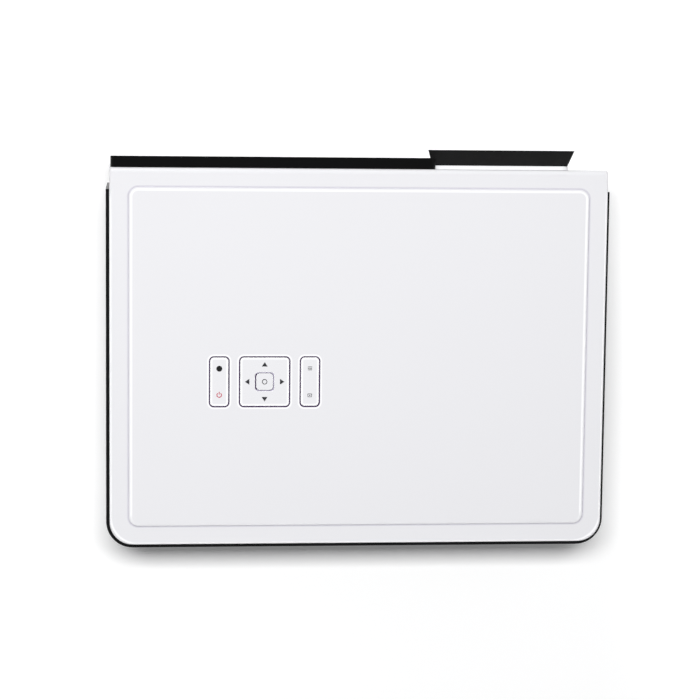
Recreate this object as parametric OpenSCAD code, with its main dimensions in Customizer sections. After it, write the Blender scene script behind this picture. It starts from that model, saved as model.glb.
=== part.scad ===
/* [Case] */
// Width of the white cover
body_w = 322; // [316:1:350]
// Depth of the white cover, from front to rear
body_d = 244; // [240:1:270]
// Height from the case's underside to the cover's top
body_h = 106; // [106:1:124]
// Radius of the two rear corners
corner_r = 15; // [10:0.5:20]
// Thickness of the moulded case walls
wall = 2.5; // [2:0.1:3]
// Thickness of the cover's top
cover_wall = 3; // [2.4:0.1:4]
// Radius along the cover's side and rear edges
edge_r = 1.2; // [0.6:0.1:2]
// Radius along the cover's front edge
front_edge_r = 3; // [1.5:0.25:4]
// How far the front leans back over the case's height
front_lean = 6; // [3:0.5:9]
// Height of the bottom tub's wall
tub_h = 12; // [10:0.5:14]

/* [Raised panel] */
// Border left round the raised panel
raise_margin = 12; // [8:0.5:18]
// Height of the raised panel
raise_h = 0.8; // [0.4:0.1:1.5]
// Corner radius of the raised panel
raise_r = 6.5; // [4:0.5:12]

/* [Side band] */
// How far the band stands out at the sides
band_out = 2.3; // [1:0.1:3]
// How far the band stands out at the rear
rear_out = 3; // [1:0.1:4]
// Distance from the front edge to the band's ends
band_start = 14; // [10:0.5:20]
// Distance from the cover's top down to the band
band_drop = 6; // [5:0.5:8]
// Height of the side grilles
grille_h = 52; // [40:1:60]
// Length of the side grilles
grille_l = 130; // [100:2:150]
// Pitch of the grille slats
slat_pitch = 5.2; // [4.6:0.2:7]

/* [Front panel] */
// Width of the black front panel
panel_w = 209.4; // [205:0.2:212]
// Height of the black front panel
panel_h = 86; // [80:1:88]
// How far the panel stands out
panel_out = 7.6; // [6.5:0.1:9]
// Distance from the cover's top down to the panel
panel_drop = 7; // [6.6:0.2:9]
// Corner radius of the panel
panel_r = 3; // [1:0.5:5]
// Diameter of the infrared window
ir_d = 12; // [8:0.5:16]
// Diameter of the eject button
eject_d = 8; // [6:0.5:9]
// Travel of the eject button
eject_travel = 1.2; // [0.8:0.1:1.5]

/* [Hood] */
// Width of the hood's mouth
hood_w = 96; // [92:1:100]
// Height of the hood's mouth
hood_h = 80; // [76:1:84]
// How much narrower the hood is at its root
hood_flare = 8; // [4:0.5:12]
// How far the hood stands out from the front
hood_reach = 13; // [11:0.5:16]
// How far the hood's surround stands out below that lip
hood_low_reach = 7; // [6:0.5:9]
// Depth of the white collar behind the hood
collar_depth = 3; // [2:0.25:4]
// Width of the hood's rim
hood_rim = 2; // [1.4:0.1:3]

/* [Lens] */
// Distance of the lens axis in from the cover's side
lens_offset = 68; // [66:0.5:69]
// Height of the lens axis above the case's underside
lens_rise = 53; // [52:0.5:55]
// Diameter of the lens barrel
barrel_d = 48; // [46:0.5:50]
// Length of the lens barrel
barrel_l = 58; // [54:1:62]
// Diameter of the focus ring
focus_d = 56; // [55:0.5:57]
// Number of grips round the focus ring
focus_grips = 36; // [24:1:48]

/* [Optics] */
// Width of the light tunnel
tunnel_w = 108; // [104:1:110]
// Height of the light tunnel
tunnel_h = 86; // [82:1:87]
// Length of the light tunnel
tunnel_l = 128; // [126:1:134]
// Width of the picture panel's glass
glass_w = 96; // [88:1:98]
// Height of the picture panel's glass
glass_h = 62; // [56:1:68]
// Width and height of the exhaust fan
fan_w = 80; // [76:1:84]
// Depth of the exhaust fan
fan_t = 18; // [15:1:20]
// Number of fan blades
fan_blades = 7; // [5:1:9]
// Number of heat sink fins
fin_count = 14; // [10:1:18]

/* [Keypad] */
// Distance of the keypad's centre to the left of the centre line
keypad_offset = 61.3; // [58:0.1:66]
// Distance of the keypad's centre from the front edge
keypad_back = 137.4; // [132:0.2:142]
// Length of all key caps, and width of the direction pad
key_l = 31.6; // [29:0.2:35]
// Width of the two side keys
side_key_w = 11.7; // [10:0.1:13]
// Distance from the pad's centre to a side key's centre
key_pitch = 29.3; // [28:0.1:32]
// Width of the OK key
ok_w = 11; // [10:0.1:13]
// Gap round each key cap
key_gap = 0.7; // [0.6:0.05:1]
// Corner radius of the key caps
key_r = 2.4; // [1:0.1:4]
// Travel of the OK key
key_travel = 0.8; // [0.5:0.1:1]

/* [Disc loader] */
// Distance of the loader's centre in from the cover's other side
loader_offset = 91; // [89:0.5:93]
// Width of the loader
loader_w = 148; // [146:1:150]
// Depth of the loader
loader_d = 186; // [182:1:192]
// Height of the loader's side walls
loader_h = 40; // [40:0.5:42]
// Height of the loader's floor above the case's underside
loader_rise = 44; // [42:0.5:45]
// Width of the disc tray
tray_w = 138; // [136:0.5:139]
// Thickness of the disc tray
tray_t = 7; // [6.5:0.1:7.5]
// Diameter of the disc well
well_d = 121; // [120.5:0.1:122]
// Depth of the disc well
well_depth = 3.5; // [3:0.1:4]
// How far the tray comes out
tray_travel = 135; // [130:1:138]
// Length of the tray that stays in the loader when it is out
tray_kept = 21; // [20:1:23]
// Width of the tray door
door_w = 142; // [140:0.5:143]
// Height of the tray door
door_h = 20; // [19:0.5:24]
// Teeth on the loading gear
gear_teeth = 20; // [18:1:20]
// Module of the loading gear's teeth
gear_module = 1; // [0.9:0.05:1.05]
// Angle that the traverse drops through when the disc is released
drop_a = 7; // [5:0.5:8]
// Diameter of the turntable
turntable_d = 30; // [26:1:34]
// How far the pickup travels
sled_travel = 24; // [18:1:26]

/* [Feet and fixings] */
// Height of the rubber feet
foot_h = 6; // [4:0.5:10]
// Diameter of the rubber feet
foot_d = 18; // [14:1:22]
// Diameter of the height adjuster
adjuster_d = 22; // [18:1:26]
// Width between the ceiling fixing holes
fixing_w = 200; // [180:1:210]
// Depth between the ceiling fixing holes
fixing_d = 130; // [110:1:140]
// Diameter of the ceiling fixing holes
fixing_bore = 4; // [3:0.1:5]
// Diameter of the case screws
screw_d = 3; // [2.5:0.1:3.5]

/* [Hidden] */
$fn = 48;

// Case levels and planes: +X is the disc side, -Y the front, +Z up
z_base = foot_h;
z_top = foot_h + body_h;
z_face = z_top + raise_h;
z_tub = z_base + tub_h;
z_band = z_top - band_drop;
z_floor = z_base + wall;
lean_a = atan(front_lean / body_h);
lens_x = lens_offset - body_w / 2;
lens_z = z_base + lens_rise;
lens_down = (z_top - lens_z) / cos(lean_a);
hood_top = lens_down - hood_h / 2;
y_front = (hood_reach * cos(lean_a) - hood_top * sin(lean_a) - body_d - rear_out) / 2;
y_mid = y_front + body_d / 2;
y_rear = y_front + body_d;
y_band = y_front + band_start;
band_w = body_w + 2 * band_out;
band_wall = 3;
y_wall = y_rear + rear_out - band_wall;
fit_gap = 0.3;
clear_gap = 0.4;
thin = 0.01;
cut = 1;
through = 10;
// Posts that the case screws enter
post_d = 8;
post_x = band_w / 2 - band_wall - post_d / 2 - 2.6;
post_front = y_front + 24;
post_rear = y_rear - 22.6;
post_low = z_base + 14;
pilot_clear = 0.05;
screw_head_d = 2 * screw_d;
screw_head_h = 2;
screw_l = 22;
lip_h = 4;
lip_wall = 2;
// Panel and hood
panel_end = body_w / 2 - 0.6;
panel_wall = 2.5;
panel_mid = -panel_drop - panel_h / 2;
hood_base = 2;
hood_bore = focus_d + 3;
collar_w = hood_w - hood_flare + 2;
collar_h = hood_h - hood_flare + 2;
collar_r = 5;
relief_gap = 1.2;
frame_bore = focus_d + 10;
// Disc loader's frame: x across, y from its front, z from its floor
loader_x = body_w / 2 - loader_offset;
loader_y = y_front + 10;
loader_z = z_base + loader_rise;
loader_wall = 2.5;
loader_floor = 2;
tray_front = 4;
tray_l = tray_travel + tray_kept;
tray_under = 26;
tray_top = tray_under + tray_t;
disc_back = 80;
tray_slot_w = 44;
tray_slot_front = 22;
tray_slot_rear = 58;
small_well_d = 81;
door_mid = loader_z + tray_under + tray_t / 2;
door_down = (z_top - door_mid) / cos(lean_a);
door_t = 2.5;
door_gap = 0.8;
door_arm_w = 120;
hood_edge = lens_x + hood_w / 2 + relief_gap;
ir_x = (hood_edge + loader_x - door_w / 2) / 2;
eject_edge = 9.6;
eject_x = panel_end - eject_edge;
button_back = panel_wall + fit_gap - panel_out;
button_flange = 1.5;
button_flange_t = 1;
pitch_r = gear_teeth * gear_module / 2;
tooth_depth = 2 * gear_module;
gear_y = 18;
gear_x = -57;
gear_low = 22.2;
gear_h = 3;
gear_hub_d = 9;
rack_h = 3.5;
rack_back = 4;
gear_pin_d = 3;
pin_clear = 0.06;
pulley_d = 26;
small_pulley_d = 6;
pulley_low = 15.8;
pulley_h = 4;
motor_x = -20;
motor_d = 16;
motor_shaft_d = 1.5;
belt_t = 1.2;
belt_clear = 0.35;
// Traverse, drawn in its raised place and then let down
pivot_y = 152;
pivot_z = 13;
pivot_pin_d = 4;
pivot_pin_out = 5.4;
traverse_w = 66;
traverse_front = 56;
traverse_z = 12;
traverse_t = 2;
traverse_rim = 6;
floor_gap_y = 40;
floor_gap_l = 106;
rod_x = 16;
rod_d = 3;
rod_z = traverse_z + 7;
sled_y = 98;
sled_l = 18;
sled_w = 40;
sled_screw_x = 26;
sled_screw_d = 2.6;
table_top = 31;
hub_d = 14.8;
hub_h = 2.2;
hub_nose = 0.8;
spindle_motor_d = 26;
puck_d = 27;
puck_neck_d = 18;
puck_low = 35.5;
bridge_t = 2;
bridge_w = 44;
bridge_bore = 22;
// Optics along the lens axis
sleeve_y = y_front + 6;
sleeve_wall = 2.2;
tunnel_y = y_front + barrel_l + 2;
tunnel_wall = 2;
plate_t = 2;
picture_y = tunnel_y + 50;
fresnel_gap = 9;
condenser_y = tunnel_y + 92;
condenser_d = 70;
led_y = tunnel_y + tunnel_l - 8;
led_window = 48;
sink_y = tunnel_y + tunnel_l + 1;
sink_base = 5;
fin_t = 1.2;
fan_y = y_wall - 3 - fan_t;
fan_wall = 2;
fan_hole = fan_w + 4;
ring_first = 14;
ring_step = 8;
ring_wire = 1.6;
spoke_w = 2;
grille_hub_d = 20;
fan_hub_d = 30;
// Rear of the case
inlet_x = -20;
inlet_w = 28;
inlet_h = 20;
inlet_z = z_base + 32;
switch_x = 14;
switch_w = 14;
switch_h = 20;
switch_a = 7;
inlet_depth = 15;
switch_pivot = y_wall - 4;
board_t = 1.6;
board_z = z_base + 11;
board_w = 112;
main_d = 96;
main_y = y_wall - 4 - main_d;
power_d = 100;
power_y = y_front + 20;
socket_z = board_z + board_t;
socket_low = socket_z + 1.5;
socket_h = 6.5;
usb_pitch = 9;
hdmi_x = loader_x + 42;
usb_x = loader_x + 16;
hdmi_hole = 16;
usb_hole = 15;
jack_x = loader_x - 14;
jack_pitch = 16;
jack_bore = 3.6;
jack_nose_d = 8.6;
jack_z = socket_z + 6;
// Keypad
keypad_x = keypad_offset;
keypad_y = y_front + keypad_back;
key_low = z_top - cover_wall - clear_gap;
key_flange = 1.4;
key_flange_t = 1.6;
stem_h = 1.5;
key_bottom = key_low - key_flange_t - stem_h;
dome_gap = key_travel + clear_gap;
mat_t = 1;
dome_h = 1.6;
mat_z = key_bottom - dome_gap - dome_h - mat_t;
keypad_board_z = mat_z - board_t;
pad_dome = 13.5;
pad_drop = 0.4;
side_dome = 11;
keypad_post_x = key_pitch + side_key_w / 2 + 6;
keypad_post_d = 5;
// Feet, adjuster and fixings
foot_x = body_w / 2 - 22;
foot_front = y_front + 24;
foot_rear = y_rear - 24;
adjuster_x = 0;
adjuster_y = y_front + 22;
adjuster_travel = 18;
adjuster_kept = 5;
adjuster_top = z_base + adjuster_travel + adjuster_kept;
adjuster_pad_t = 2;
adjuster_screw_d = 8;
adjuster_lift = 0.5;
thread_clear = 0.08;
fixing_y = y_mid - 4;
fixing_depth = 8;
fixing_post_d = 11;
// Grilles
grille_y = y_mid + 8;
grille_z = z_base + 60;
grille_t = 2;
slat_t = 2;
speaker_w = 62;
speaker_h = 36;
speaker_t = 9;
speaker_plate_t = 1.8;
speaker_r = 12;
function lean_y(z) = y_front + (z_top - z) * tan(lean_a);

// ---- Shared shapes ----
// Centred rectangle with round corners
module rounded(x, y, r) {
    square([x - 2 * r, y], center = true);
    square([x, y - 2 * r], center = true);
    for (sx = [-1, 1])
        for (sy = [-1, 1])
            translate([sx * (x / 2 - r), sy * (y / 2 - r)]) circle(r = r);
}

// Outline of the case from above: square at the front, two round corners at the rear
module case_outline(w, front, rear, r) {
    translate([-w / 2, front]) square([w, rear - r - front]);
    translate([-w / 2 + r, front]) square([w - 2 * r, rear - front]);
    for (s = [-1, 1])
        translate([s * (w / 2 - r), rear - r]) circle(r = r);
}

// Thickens an x-z outline from y = back forwards to y = front
module facing(back, front) {
    translate([0, back, 0]) rotate([90, 0, 0]) linear_extrude(back - front) children();
}

// Thickens a y-z outline from x = left to x = right
module sideways(left, right) {
    translate([left, 0, 0]) rotate([90, 0, 90]) linear_extrude(right - left) children();
}

// Upright prism of an outline from z = low to z = high
module upright(low, high) {
    translate([0, 0, low]) linear_extrude(high - low) children();
}

module rod_y(d, y0, y1) {
    translate([0, y0, 0]) rotate([-90, 0, 0]) cylinder(d = d, h = y1 - y0);
}

module rod_x(d, x0, x1) {
    translate([x0, 0, 0]) rotate([0, 90, 0]) cylinder(d = d, h = x1 - x0);
}

// Plane of the leaning front: y = 0 on its face, z = 0 at the cover's top
module leaned() {
    translate([0, y_front, z_top]) rotate([lean_a, 0, 0]) children();
}

module on_lens_axis() {
    translate([lens_x, 0, lens_z]) children();
}

module in_loader() {
    translate([loader_x, loader_y, loader_z]) children();
}

// Lets the traverse down about its rear pivot
module let_down() {
    in_loader() translate([0, pivot_y, pivot_z]) rotate([drop_a, 0, 0])
        translate([0, -pivot_y, -pivot_z]) children();
}

module at_posts() {
    for (sx = [-1, 1])
        for (y = [post_front, post_rear])
            translate([sx * post_x, y, 0]) children();
}

module at_fixings() {
    for (sx = [-1, 1])
        for (sy = [-1, 1])
            translate([sx * fixing_w / 2, fixing_y + sy * fixing_d / 2, 0]) children();
}

// ---- Case ----
// Cover's outer block: one radius along the sides and rear, a larger one along the front
module lid_block() {
    hull() {
        upright(z_band, z_band + cut) case_outline(body_w, y_front, y_rear, corner_r, $fn = 72);
        for (a = [0:30:90]) {
            inset = edge_r * (1 - cos(a));
            z = z_top - edge_r * (1 - sin(a));
            upright(z - thin, z)
                case_outline(body_w - 2 * inset, y_front + front_edge_r, y_rear - inset,
                    corner_r - inset, $fn = 72);
        }
        for (a = [0:15:90]) {
            set_in = front_edge_r * (1 - cos(a));
            drop = front_edge_r * (1 - sin(a));
            translate([-body_w / 2 + edge_r, y_front + set_in, z_top - drop - thin])
                cube([body_w - 2 * edge_r, cut, thin]);
        }
    }
}

module raised_panel() {
    hull()
        for (a = [0:30:90]) {
            inset = 2 * raise_h * (1 - cos(a));
            translate([0, y_mid, 0])
                upright(z_top - cover_wall / 2, z_top - thin + (raise_h + thin) * sin(a))
                    rounded(body_w - 2 * raise_margin - 2 * inset,
                        body_d - 2 * raise_margin - 2 * inset, raise_r - inset, $fn = 64);
        }
}

module key_window(x, w, gap) {
    translate([x, keypad_y, 0])
        upright(z_band, z_face + cut) rounded(w + 2 * gap, key_l + 2 * gap, key_r + gap);
}

module top_cover() {
    lip_w = band_w - 2 * (band_wall + fit_gap);
    color("white") difference() {
        union() {
            difference() {
                union() {
                    lid_block();
                    raised_panel();
                }
                upright(z_band - cut, z_top - cover_wall)
                    case_outline(body_w - 2 * wall, y_front + wall, y_rear - wall, corner_r - wall);
            }
            // lip inside the band
            difference() {
                upright(z_band - lip_h, z_band)
                    case_outline(lip_w, y_band + lip_h, y_wall - fit_gap, corner_r - fit_gap);
                upright(z_band - lip_h - cut, z_band + cut)
                    case_outline(lip_w - 2 * lip_wall, y_front, y_wall - fit_gap - lip_wall,
                        corner_r - fit_gap - lip_wall);
            }
            at_posts() upright(post_low, z_top - cover_wall + thin) circle(d = post_d);
            // posts of the keypad board
            for (sx = [-1, 1])
                for (sy = [-1, 1])
                    translate([keypad_x + sx * keypad_post_x, keypad_y + sy * key_l / 2, 0])
                        upright(keypad_board_z + board_t, z_top - cover_wall + thin)
                            circle(d = keypad_post_d);
        }
        at_posts() upright(post_low - cut, post_low + screw_l) circle(d = screw_d + 2 * pilot_clear);
        key_window(keypad_x + key_pitch, side_key_w, key_gap);
        key_window(keypad_x, key_l, key_gap);
        key_window(keypad_x - key_pitch, side_key_w, key_gap);
    }
}

module front_frame() {
    low = -(body_h - tub_h) + clear_gap + 0.3;
    high = -band_drop - clear_gap;
    color("white") difference() {
        union() {
            leaned() facing(wall, 0)
                translate([-body_w / 2, low]) square([body_w, high - low]);
            for (s = [-1, 1])
                sideways(s * (body_w / 2 - wall / 2) - wall / 2, s * (body_w / 2 - wall / 2) + wall / 2)
                    polygon([
                        [lean_y(z_tub + 1) + 1, z_tub + 1], [y_band - fit_gap, z_tub + 1],
                        [y_band - fit_gap, z_band - 1], [lean_y(z_band - 1) + 1, z_band - 1]
                    ]);
        }
        on_lens_axis() rod_y(frame_bore, y_front - 20, y_front + 20);
        translate([loader_x, y_front, door_mid])
            cube([tray_w + 4, 40, tray_t + 2 * rack_h + 2], center = true);
        leaned() translate([eject_x, 0, -door_down]) facing(wall + cut, -cut) circle(d = eject_d + 4);
        leaned() translate([ir_x, 0, -door_down]) facing(wall + cut, -cut) circle(d = ir_d);
    }
}

module panel_outline(inset) {
    translate([panel_end - panel_w / 2, panel_mid])
        rounded(panel_w - 2 * inset, panel_h - 2 * inset, max(panel_r - inset, 0.4));
}

module front_panel() {
    color([0.06, 0.06, 0.065]) difference() {
        leaned() difference() {
            facing(0, -panel_out) panel_outline(0);
            facing(cut, -panel_out + panel_wall) difference() {
                panel_outline(panel_wall);
                // boss round the tray door
                translate([loader_x, -door_down])
                    rounded(door_w + 2 * door_gap + 3, door_h + 2 * door_gap + 3, 2);
                translate([hood_edge - cut, -2 * body_h]) square([cut + panel_wall, 2 * body_h]);
            }
            // room for the hood below the panel's top edge
            facing(cut, -panel_out - cut)
                translate([lens_x, -hood_top - 2 * hood_h + relief_gap])
                    square([hood_edge - lens_x, 2 * hood_h]);
            translate([loader_x, 0, -door_down])
                facing(cut, -panel_out - cut) rounded(door_w + 2 * door_gap, door_h + 2 * door_gap, 1.5);
            translate([eject_x, 0, -door_down])
                facing(cut, -panel_out - cut) circle(d = eject_d + 2 * fit_gap);
            translate([ir_x, 0, -door_down])
                facing(cut, -panel_out - cut) circle(d = ir_d);
        }
    }
}

module ir_window() {
    color([0.2, 0.02, 0.03]) leaned()
        translate([ir_x, 0, -door_down]) {
            facing(-panel_out + panel_wall, -panel_out) circle(d = ir_d);
            facing(-panel_out + panel_wall + 1.2, -panel_out + panel_wall) circle(d = ir_d + 3);
        }
}

module lens_collar() {
    color("white") difference() {
        leaned() translate([lens_x, 0, -lens_down])
            facing(0, -collar_depth) rounded(collar_w, collar_h, collar_r);
        on_lens_axis() rod_y(frame_bore, y_front - 20, y_front + 20);
    }
}

// Flared box from a mouth w by h at the reach down to its root
module flare(w, h, narrower, reach, root) {
    hull() {
        facing(-reach + thin, -reach) square([w, h], center = true);
        facing(-root, -root - thin) square([w - narrower, h - narrower], center = true);
    }
}

module lens_hood() {
    under_lip = hood_h / 2 - hood_rim;
    color([0.16, 0.16, 0.17]) difference() {
        leaned() translate([lens_x, 0, -lens_down]) difference() {
            flare(hood_w, hood_h, hood_flare, hood_reach, collar_depth);
            flare(hood_w - 2 * hood_rim, hood_h - 2 * hood_rim, 2 * hood_flare, hood_reach + thin,
                collar_depth + hood_base);
            // cheeks raked back from the top lip to the shallow surround
            sideways(-hood_w, hood_w) polygon([
                [-hood_reach - cut, under_lip], [-hood_reach, under_lip],
                [-hood_low_reach, under_lip - hood_reach + hood_low_reach],
                [-hood_low_reach, -hood_h], [-hood_reach - cut, -hood_h]
            ]);
        }
        on_lens_axis() rod_y(hood_bore, y_front - 20, y_front + 20);
    }
}

module side_band() {
    color([0.05, 0.05, 0.055]) difference() {
        upright(z_tub, z_band) case_outline(band_w, y_band, y_rear + rear_out, corner_r + band_out);
        upright(z_tub - cut, z_band + cut)
            case_outline(band_w - 2 * band_wall, y_band - cut, y_wall, corner_r);
        translate([-band_w / 2 - cut, grille_y - grille_l / 2, grille_z - grille_h / 2])
            cube([band_w + 2 * cut, grille_l, grille_h]);
        on_lens_axis() translate([-fan_hole / 2, y_wall - cut, -fan_hole / 2])
            cube([fan_hole, through, fan_hole]);
        translate([inlet_x - inlet_w / 2, y_wall - cut, inlet_z - inlet_h / 2])
            cube([inlet_w, through, inlet_h]);
        translate([switch_x - switch_w / 2, y_wall - cut, inlet_z - switch_h / 2])
            cube([switch_w, through, switch_h]);
        translate([hdmi_x - hdmi_hole / 2, y_wall - cut, socket_low - 0.5])
            cube([hdmi_hole, through, socket_h + 1]);
        translate([usb_x - usb_hole / 2, y_wall - cut, socket_low - 0.5])
            cube([usb_hole, through, usb_pitch + socket_h + 1]);
        for (i = [0:1])
            translate([jack_x - i * jack_pitch, 0, jack_z])
                rod_y(jack_nose_d + 0.4, y_wall - cut, y_wall + through);
    }
}

// Frame with upright slats that fill a window l by h, its back on x = 0
module louvre(l, h) {
    difference() {
        translate([0, -l / 2, -h / 2]) cube([grille_t, l, h]);
        translate([-cut, -l / 2 + 2.5, -h / 2 + 2.5]) cube([grille_t + 2 * cut, l - 5, h - 5]);
    }
    slats = floor((l - 5) / slat_pitch);
    for (i = [1:slats - 1])
        translate([0, -(l - 5) / 2 + i * (l - 5) / slats - slat_t / 2, -h / 2 + 2.5 - thin])
            cube([grille_t, slat_t, h - 5 + 2 * thin]);
}

module side_grilles() {
    color([0.08, 0.08, 0.085])
        for (s = [-1, 1])
            translate([s * (band_w / 2 - band_wall / 2) - grille_t / 2, grille_y, grille_z])
                louvre(grille_l - 2 * fit_gap / 3, grille_h - 2 * fit_gap / 3);
}

module fan_grille() {
    size = fan_hole - 2 * fit_gap / 3;
    color([0.08, 0.08, 0.085]) on_lens_axis()
        translate([0, y_wall + band_wall / 2 - grille_t / 2, 0]) {
            difference() {
                translate([-size / 2, 0, -size / 2]) cube([size, grille_t, size]);
                rod_y(fan_w - 4, -cut, grille_t + cut);
            }
            // rings, spokes and hub
            for (r = [ring_first:ring_step:fan_w / 2 - 6])
                difference() {
                    rod_y(2 * r + ring_wire, 0, grille_t);
                    rod_y(2 * r - ring_wire, -cut, grille_t + cut);
                }
            for (a = [45, 135])
                rotate([0, a, 0]) translate([-fan_w / 2 + 1, 0, -spoke_w / 2])
                    cube([fan_w - 2, grille_t, spoke_w]);
            rod_y(grille_hub_d, 0, grille_t);
        }
}

module bottom_case() {
    color("white") difference() {
        union() {
            difference() {
                upright(z_base, z_tub) case_outline(body_w, lean_y(z_base), y_rear, corner_r);
                upright(z_floor, z_tub + cut)
                    case_outline(body_w - 2 * wall, lean_y(z_base) + wall, y_rear - wall, corner_r - wall);
            }
            at_posts() upright(z_floor - thin, post_low) circle(d = post_d + 3);
            at_fixings() upright(z_floor - thin, z_base + fixing_depth + 1.5) circle(d = fixing_post_d);
            // legs of the disc loader
            for (sx = [-1, 1])
                for (y = [12, loader_d - 12])
                    translate([loader_x + sx * (loader_w / 2 - 7), loader_y + y, 0])
                        upright(z_floor - thin, loader_z) circle(d = 9);
            // rails under the light tunnel
            for (sx = [-1, 1])
                translate([lens_x + sx * tunnel_w / 3 - 3, tunnel_y, z_floor - thin])
                    cube([6, tunnel_l, lens_z - tunnel_h / 2 - z_floor + thin]);
            // studs under the two boards
            for (y = [main_y + 8, main_y + main_d - 8, power_y + 8, power_y + power_d - 8])
                for (sx = [-1, 1])
                    translate([loader_x + sx * (board_w / 2 - 6), y, 0])
                        upright(z_floor - thin, board_z) circle(d = 6);
            translate([adjuster_x, adjuster_y, 0])
                upright(z_floor - thin, adjuster_top + 1) circle(d = 2 * adjuster_screw_d);
        }
        // counterbored holes of the case screws
        at_posts() {
            upright(z_base - cut, post_low + cut) circle(d = screw_d + 0.6);
            upright(z_base - cut, post_low - 3) circle(d = screw_head_d + 1);
        }
        at_fixings() upright(z_base - cut, z_base + fixing_depth) circle(d = fixing_bore);
        translate([adjuster_x, adjuster_y, 0]) {
            upright(z_base - cut, adjuster_top + 1 + cut) circle(d = adjuster_screw_d + 2 * thread_clear);
            upright(z_base - cut, z_base + 1.5) circle(d = adjuster_d + 2);
        }
        // intake slots under the boards
        for (i = [0:11])
            translate([loader_x - 44 + i * 8 - 1.5, y_mid - 2, z_base - cut]) cube([3, 30, wall + 2 * cut]);
    }
}

module rubber_feet() {
    color([0.09, 0.09, 0.09])
        for (sx = [-1, 1])
            for (y = [foot_front, foot_rear])
                translate([sx * foot_x, y, 0]) {
                    cylinder(d1 = foot_d - 2, d2 = foot_d, h = 1);
                    upright(1 - thin, foot_h) circle(d = foot_d);
                }
}

module adjuster_screw() {
    color([0.8, 0.8, 0.8]) translate([adjuster_x, adjuster_y, 0]) {
        difference() {
            upright(adjuster_lift + adjuster_pad_t, foot_h) circle(d = adjuster_d);
            for (a = [0:15:345])
                rotate(a) translate([adjuster_d / 2, 0, 0]) upright(0, foot_h + cut) circle(d = 1.4);
        }
        upright(foot_h - thin, adjuster_top) circle(d = adjuster_screw_d);
    }
}

module adjuster_pad() {
    color([0.09, 0.09, 0.09]) translate([adjuster_x, adjuster_y, 0])
        upright(adjuster_lift, adjuster_lift + adjuster_pad_t - 0.05) circle(d = adjuster_d - 4);
}

module case_screws() {
    color("silver") at_posts() {
        upright(post_low - 3 - screw_head_h, post_low - 3) difference() {
            circle(d = screw_head_d);
            circle(d = 2.4, $fn = 6);
        }
        upright(post_low - 3 - thin, post_low - 3 + screw_l - 2) circle(d = screw_d);
    }
}

// ---- Optics and cooling ----
module focus_ring() {
    front = y_front - 6;
    back = sleeve_y - 2;
    color([0.12, 0.12, 0.12]) on_lens_axis() difference() {
        union() {
            rod_y(focus_d, front, back);
        }
        rod_y(barrel_d + 2 * fit_gap, front - cut, back + cut);
        for (i = [0:focus_grips - 1])
            rotate([0, i * 360 / focus_grips, 0]) translate([focus_d / 2 + 0.3, 0, 0])
                rod_y(2, front - cut, back - 3);
    }
}

module lens_barrel() {
    front = y_front - 4;
    color([0.1, 0.1, 0.1]) on_lens_axis() difference() {
        rod_y(barrel_d, front, front + barrel_l);
        rod_y(barrel_d - 5, front - cut, front + 16);
        rod_y(barrel_d - 10, front + 16 - thin, front + barrel_l - 16 + thin);
        rod_y(barrel_d - 5, front + barrel_l - 16, front + barrel_l + cut);
    }
}

// Glass element with two bulging faces, centred on its own plane
module element(d, t, r) {
    rotate([-90, 0, 0]) rotate_extrude() intersection() {
        translate([0, -t]) square([d / 2, 2 * t]);
        translate([0, t / 2 - r]) circle(r = r, $fn = 180);
        translate([0, r - t / 2]) circle(r = r, $fn = 180);
    }
}

module lens_elements() {
    front = y_front - 4;
    color([0.6, 0.7, 0.8, 0.5]) on_lens_axis() {
        translate([0, front + 9, 0]) element(barrel_d - 5.2, 11, 60);
        translate([0, front + barrel_l / 2, 0]) element(barrel_d - 10.2, 8, 60);
        translate([0, front + barrel_l - 9, 0]) element(barrel_d - 5.2, 11, 60);
    }
}

module lens_sleeve() {
    color([0.14, 0.14, 0.14]) on_lens_axis() difference() {
        union() {
            rod_y(barrel_d + 2 * (fit_gap + sleeve_wall), sleeve_y, tunnel_y);
            rod_y(barrel_d + 2 * (fit_gap + sleeve_wall) + 14, tunnel_y - 4, tunnel_y);
            for (a = [0:90:270])
                rotate([0, a, 0]) translate([barrel_d / 2 + fit_gap, sleeve_y + 10, -1])
                    cube([sleeve_wall + 5, tunnel_y - sleeve_y - 12, 2]);
        }
        rod_y(barrel_d + 2 * fit_gap, sleeve_y - cut, tunnel_y + cut);
    }
}

module light_tunnel() {
    color([0.13, 0.13, 0.14]) on_lens_axis() difference() {
        union() {
            difference() {
                translate([-tunnel_w / 2, tunnel_y, -tunnel_h / 2]) cube([tunnel_w, tunnel_l, tunnel_h]);
                translate([-tunnel_w / 2 + tunnel_wall, tunnel_y + tunnel_wall, -tunnel_h / 2 + tunnel_wall])
                    cube([tunnel_w - 2 * tunnel_wall, tunnel_l - 2 * tunnel_wall, tunnel_h]);
            }
            // grooved ribs that hold the picture panel and the two plates
            for (y = [picture_y - fresnel_gap, picture_y, picture_y + fresnel_gap])
                for (sx = [-1, 1])
                    translate([sx * (tunnel_w / 2 - 2.5) - 2.5, y - plate_t / 2 - 1.7, -tunnel_h / 2 + thin])
                        cube([5, plate_t + 3.4, tunnel_h - 2 * thin]);
        }
        for (y = [picture_y - fresnel_gap, picture_y, picture_y + fresnel_gap])
            translate([-glass_w / 2 - 3, y - plate_t / 2 - 0.2, -glass_h / 2 - 4])
                cube([glass_w + 6, plate_t + 0.4, tunnel_h]);
        rod_y(barrel_d - 2, tunnel_y - cut, tunnel_y + tunnel_wall + cut);
        translate([-led_window / 2, tunnel_y + tunnel_l - tunnel_wall - cut, -led_window / 2])
            cube([led_window, tunnel_wall + 2 * cut, led_window]);
    }
}

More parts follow.
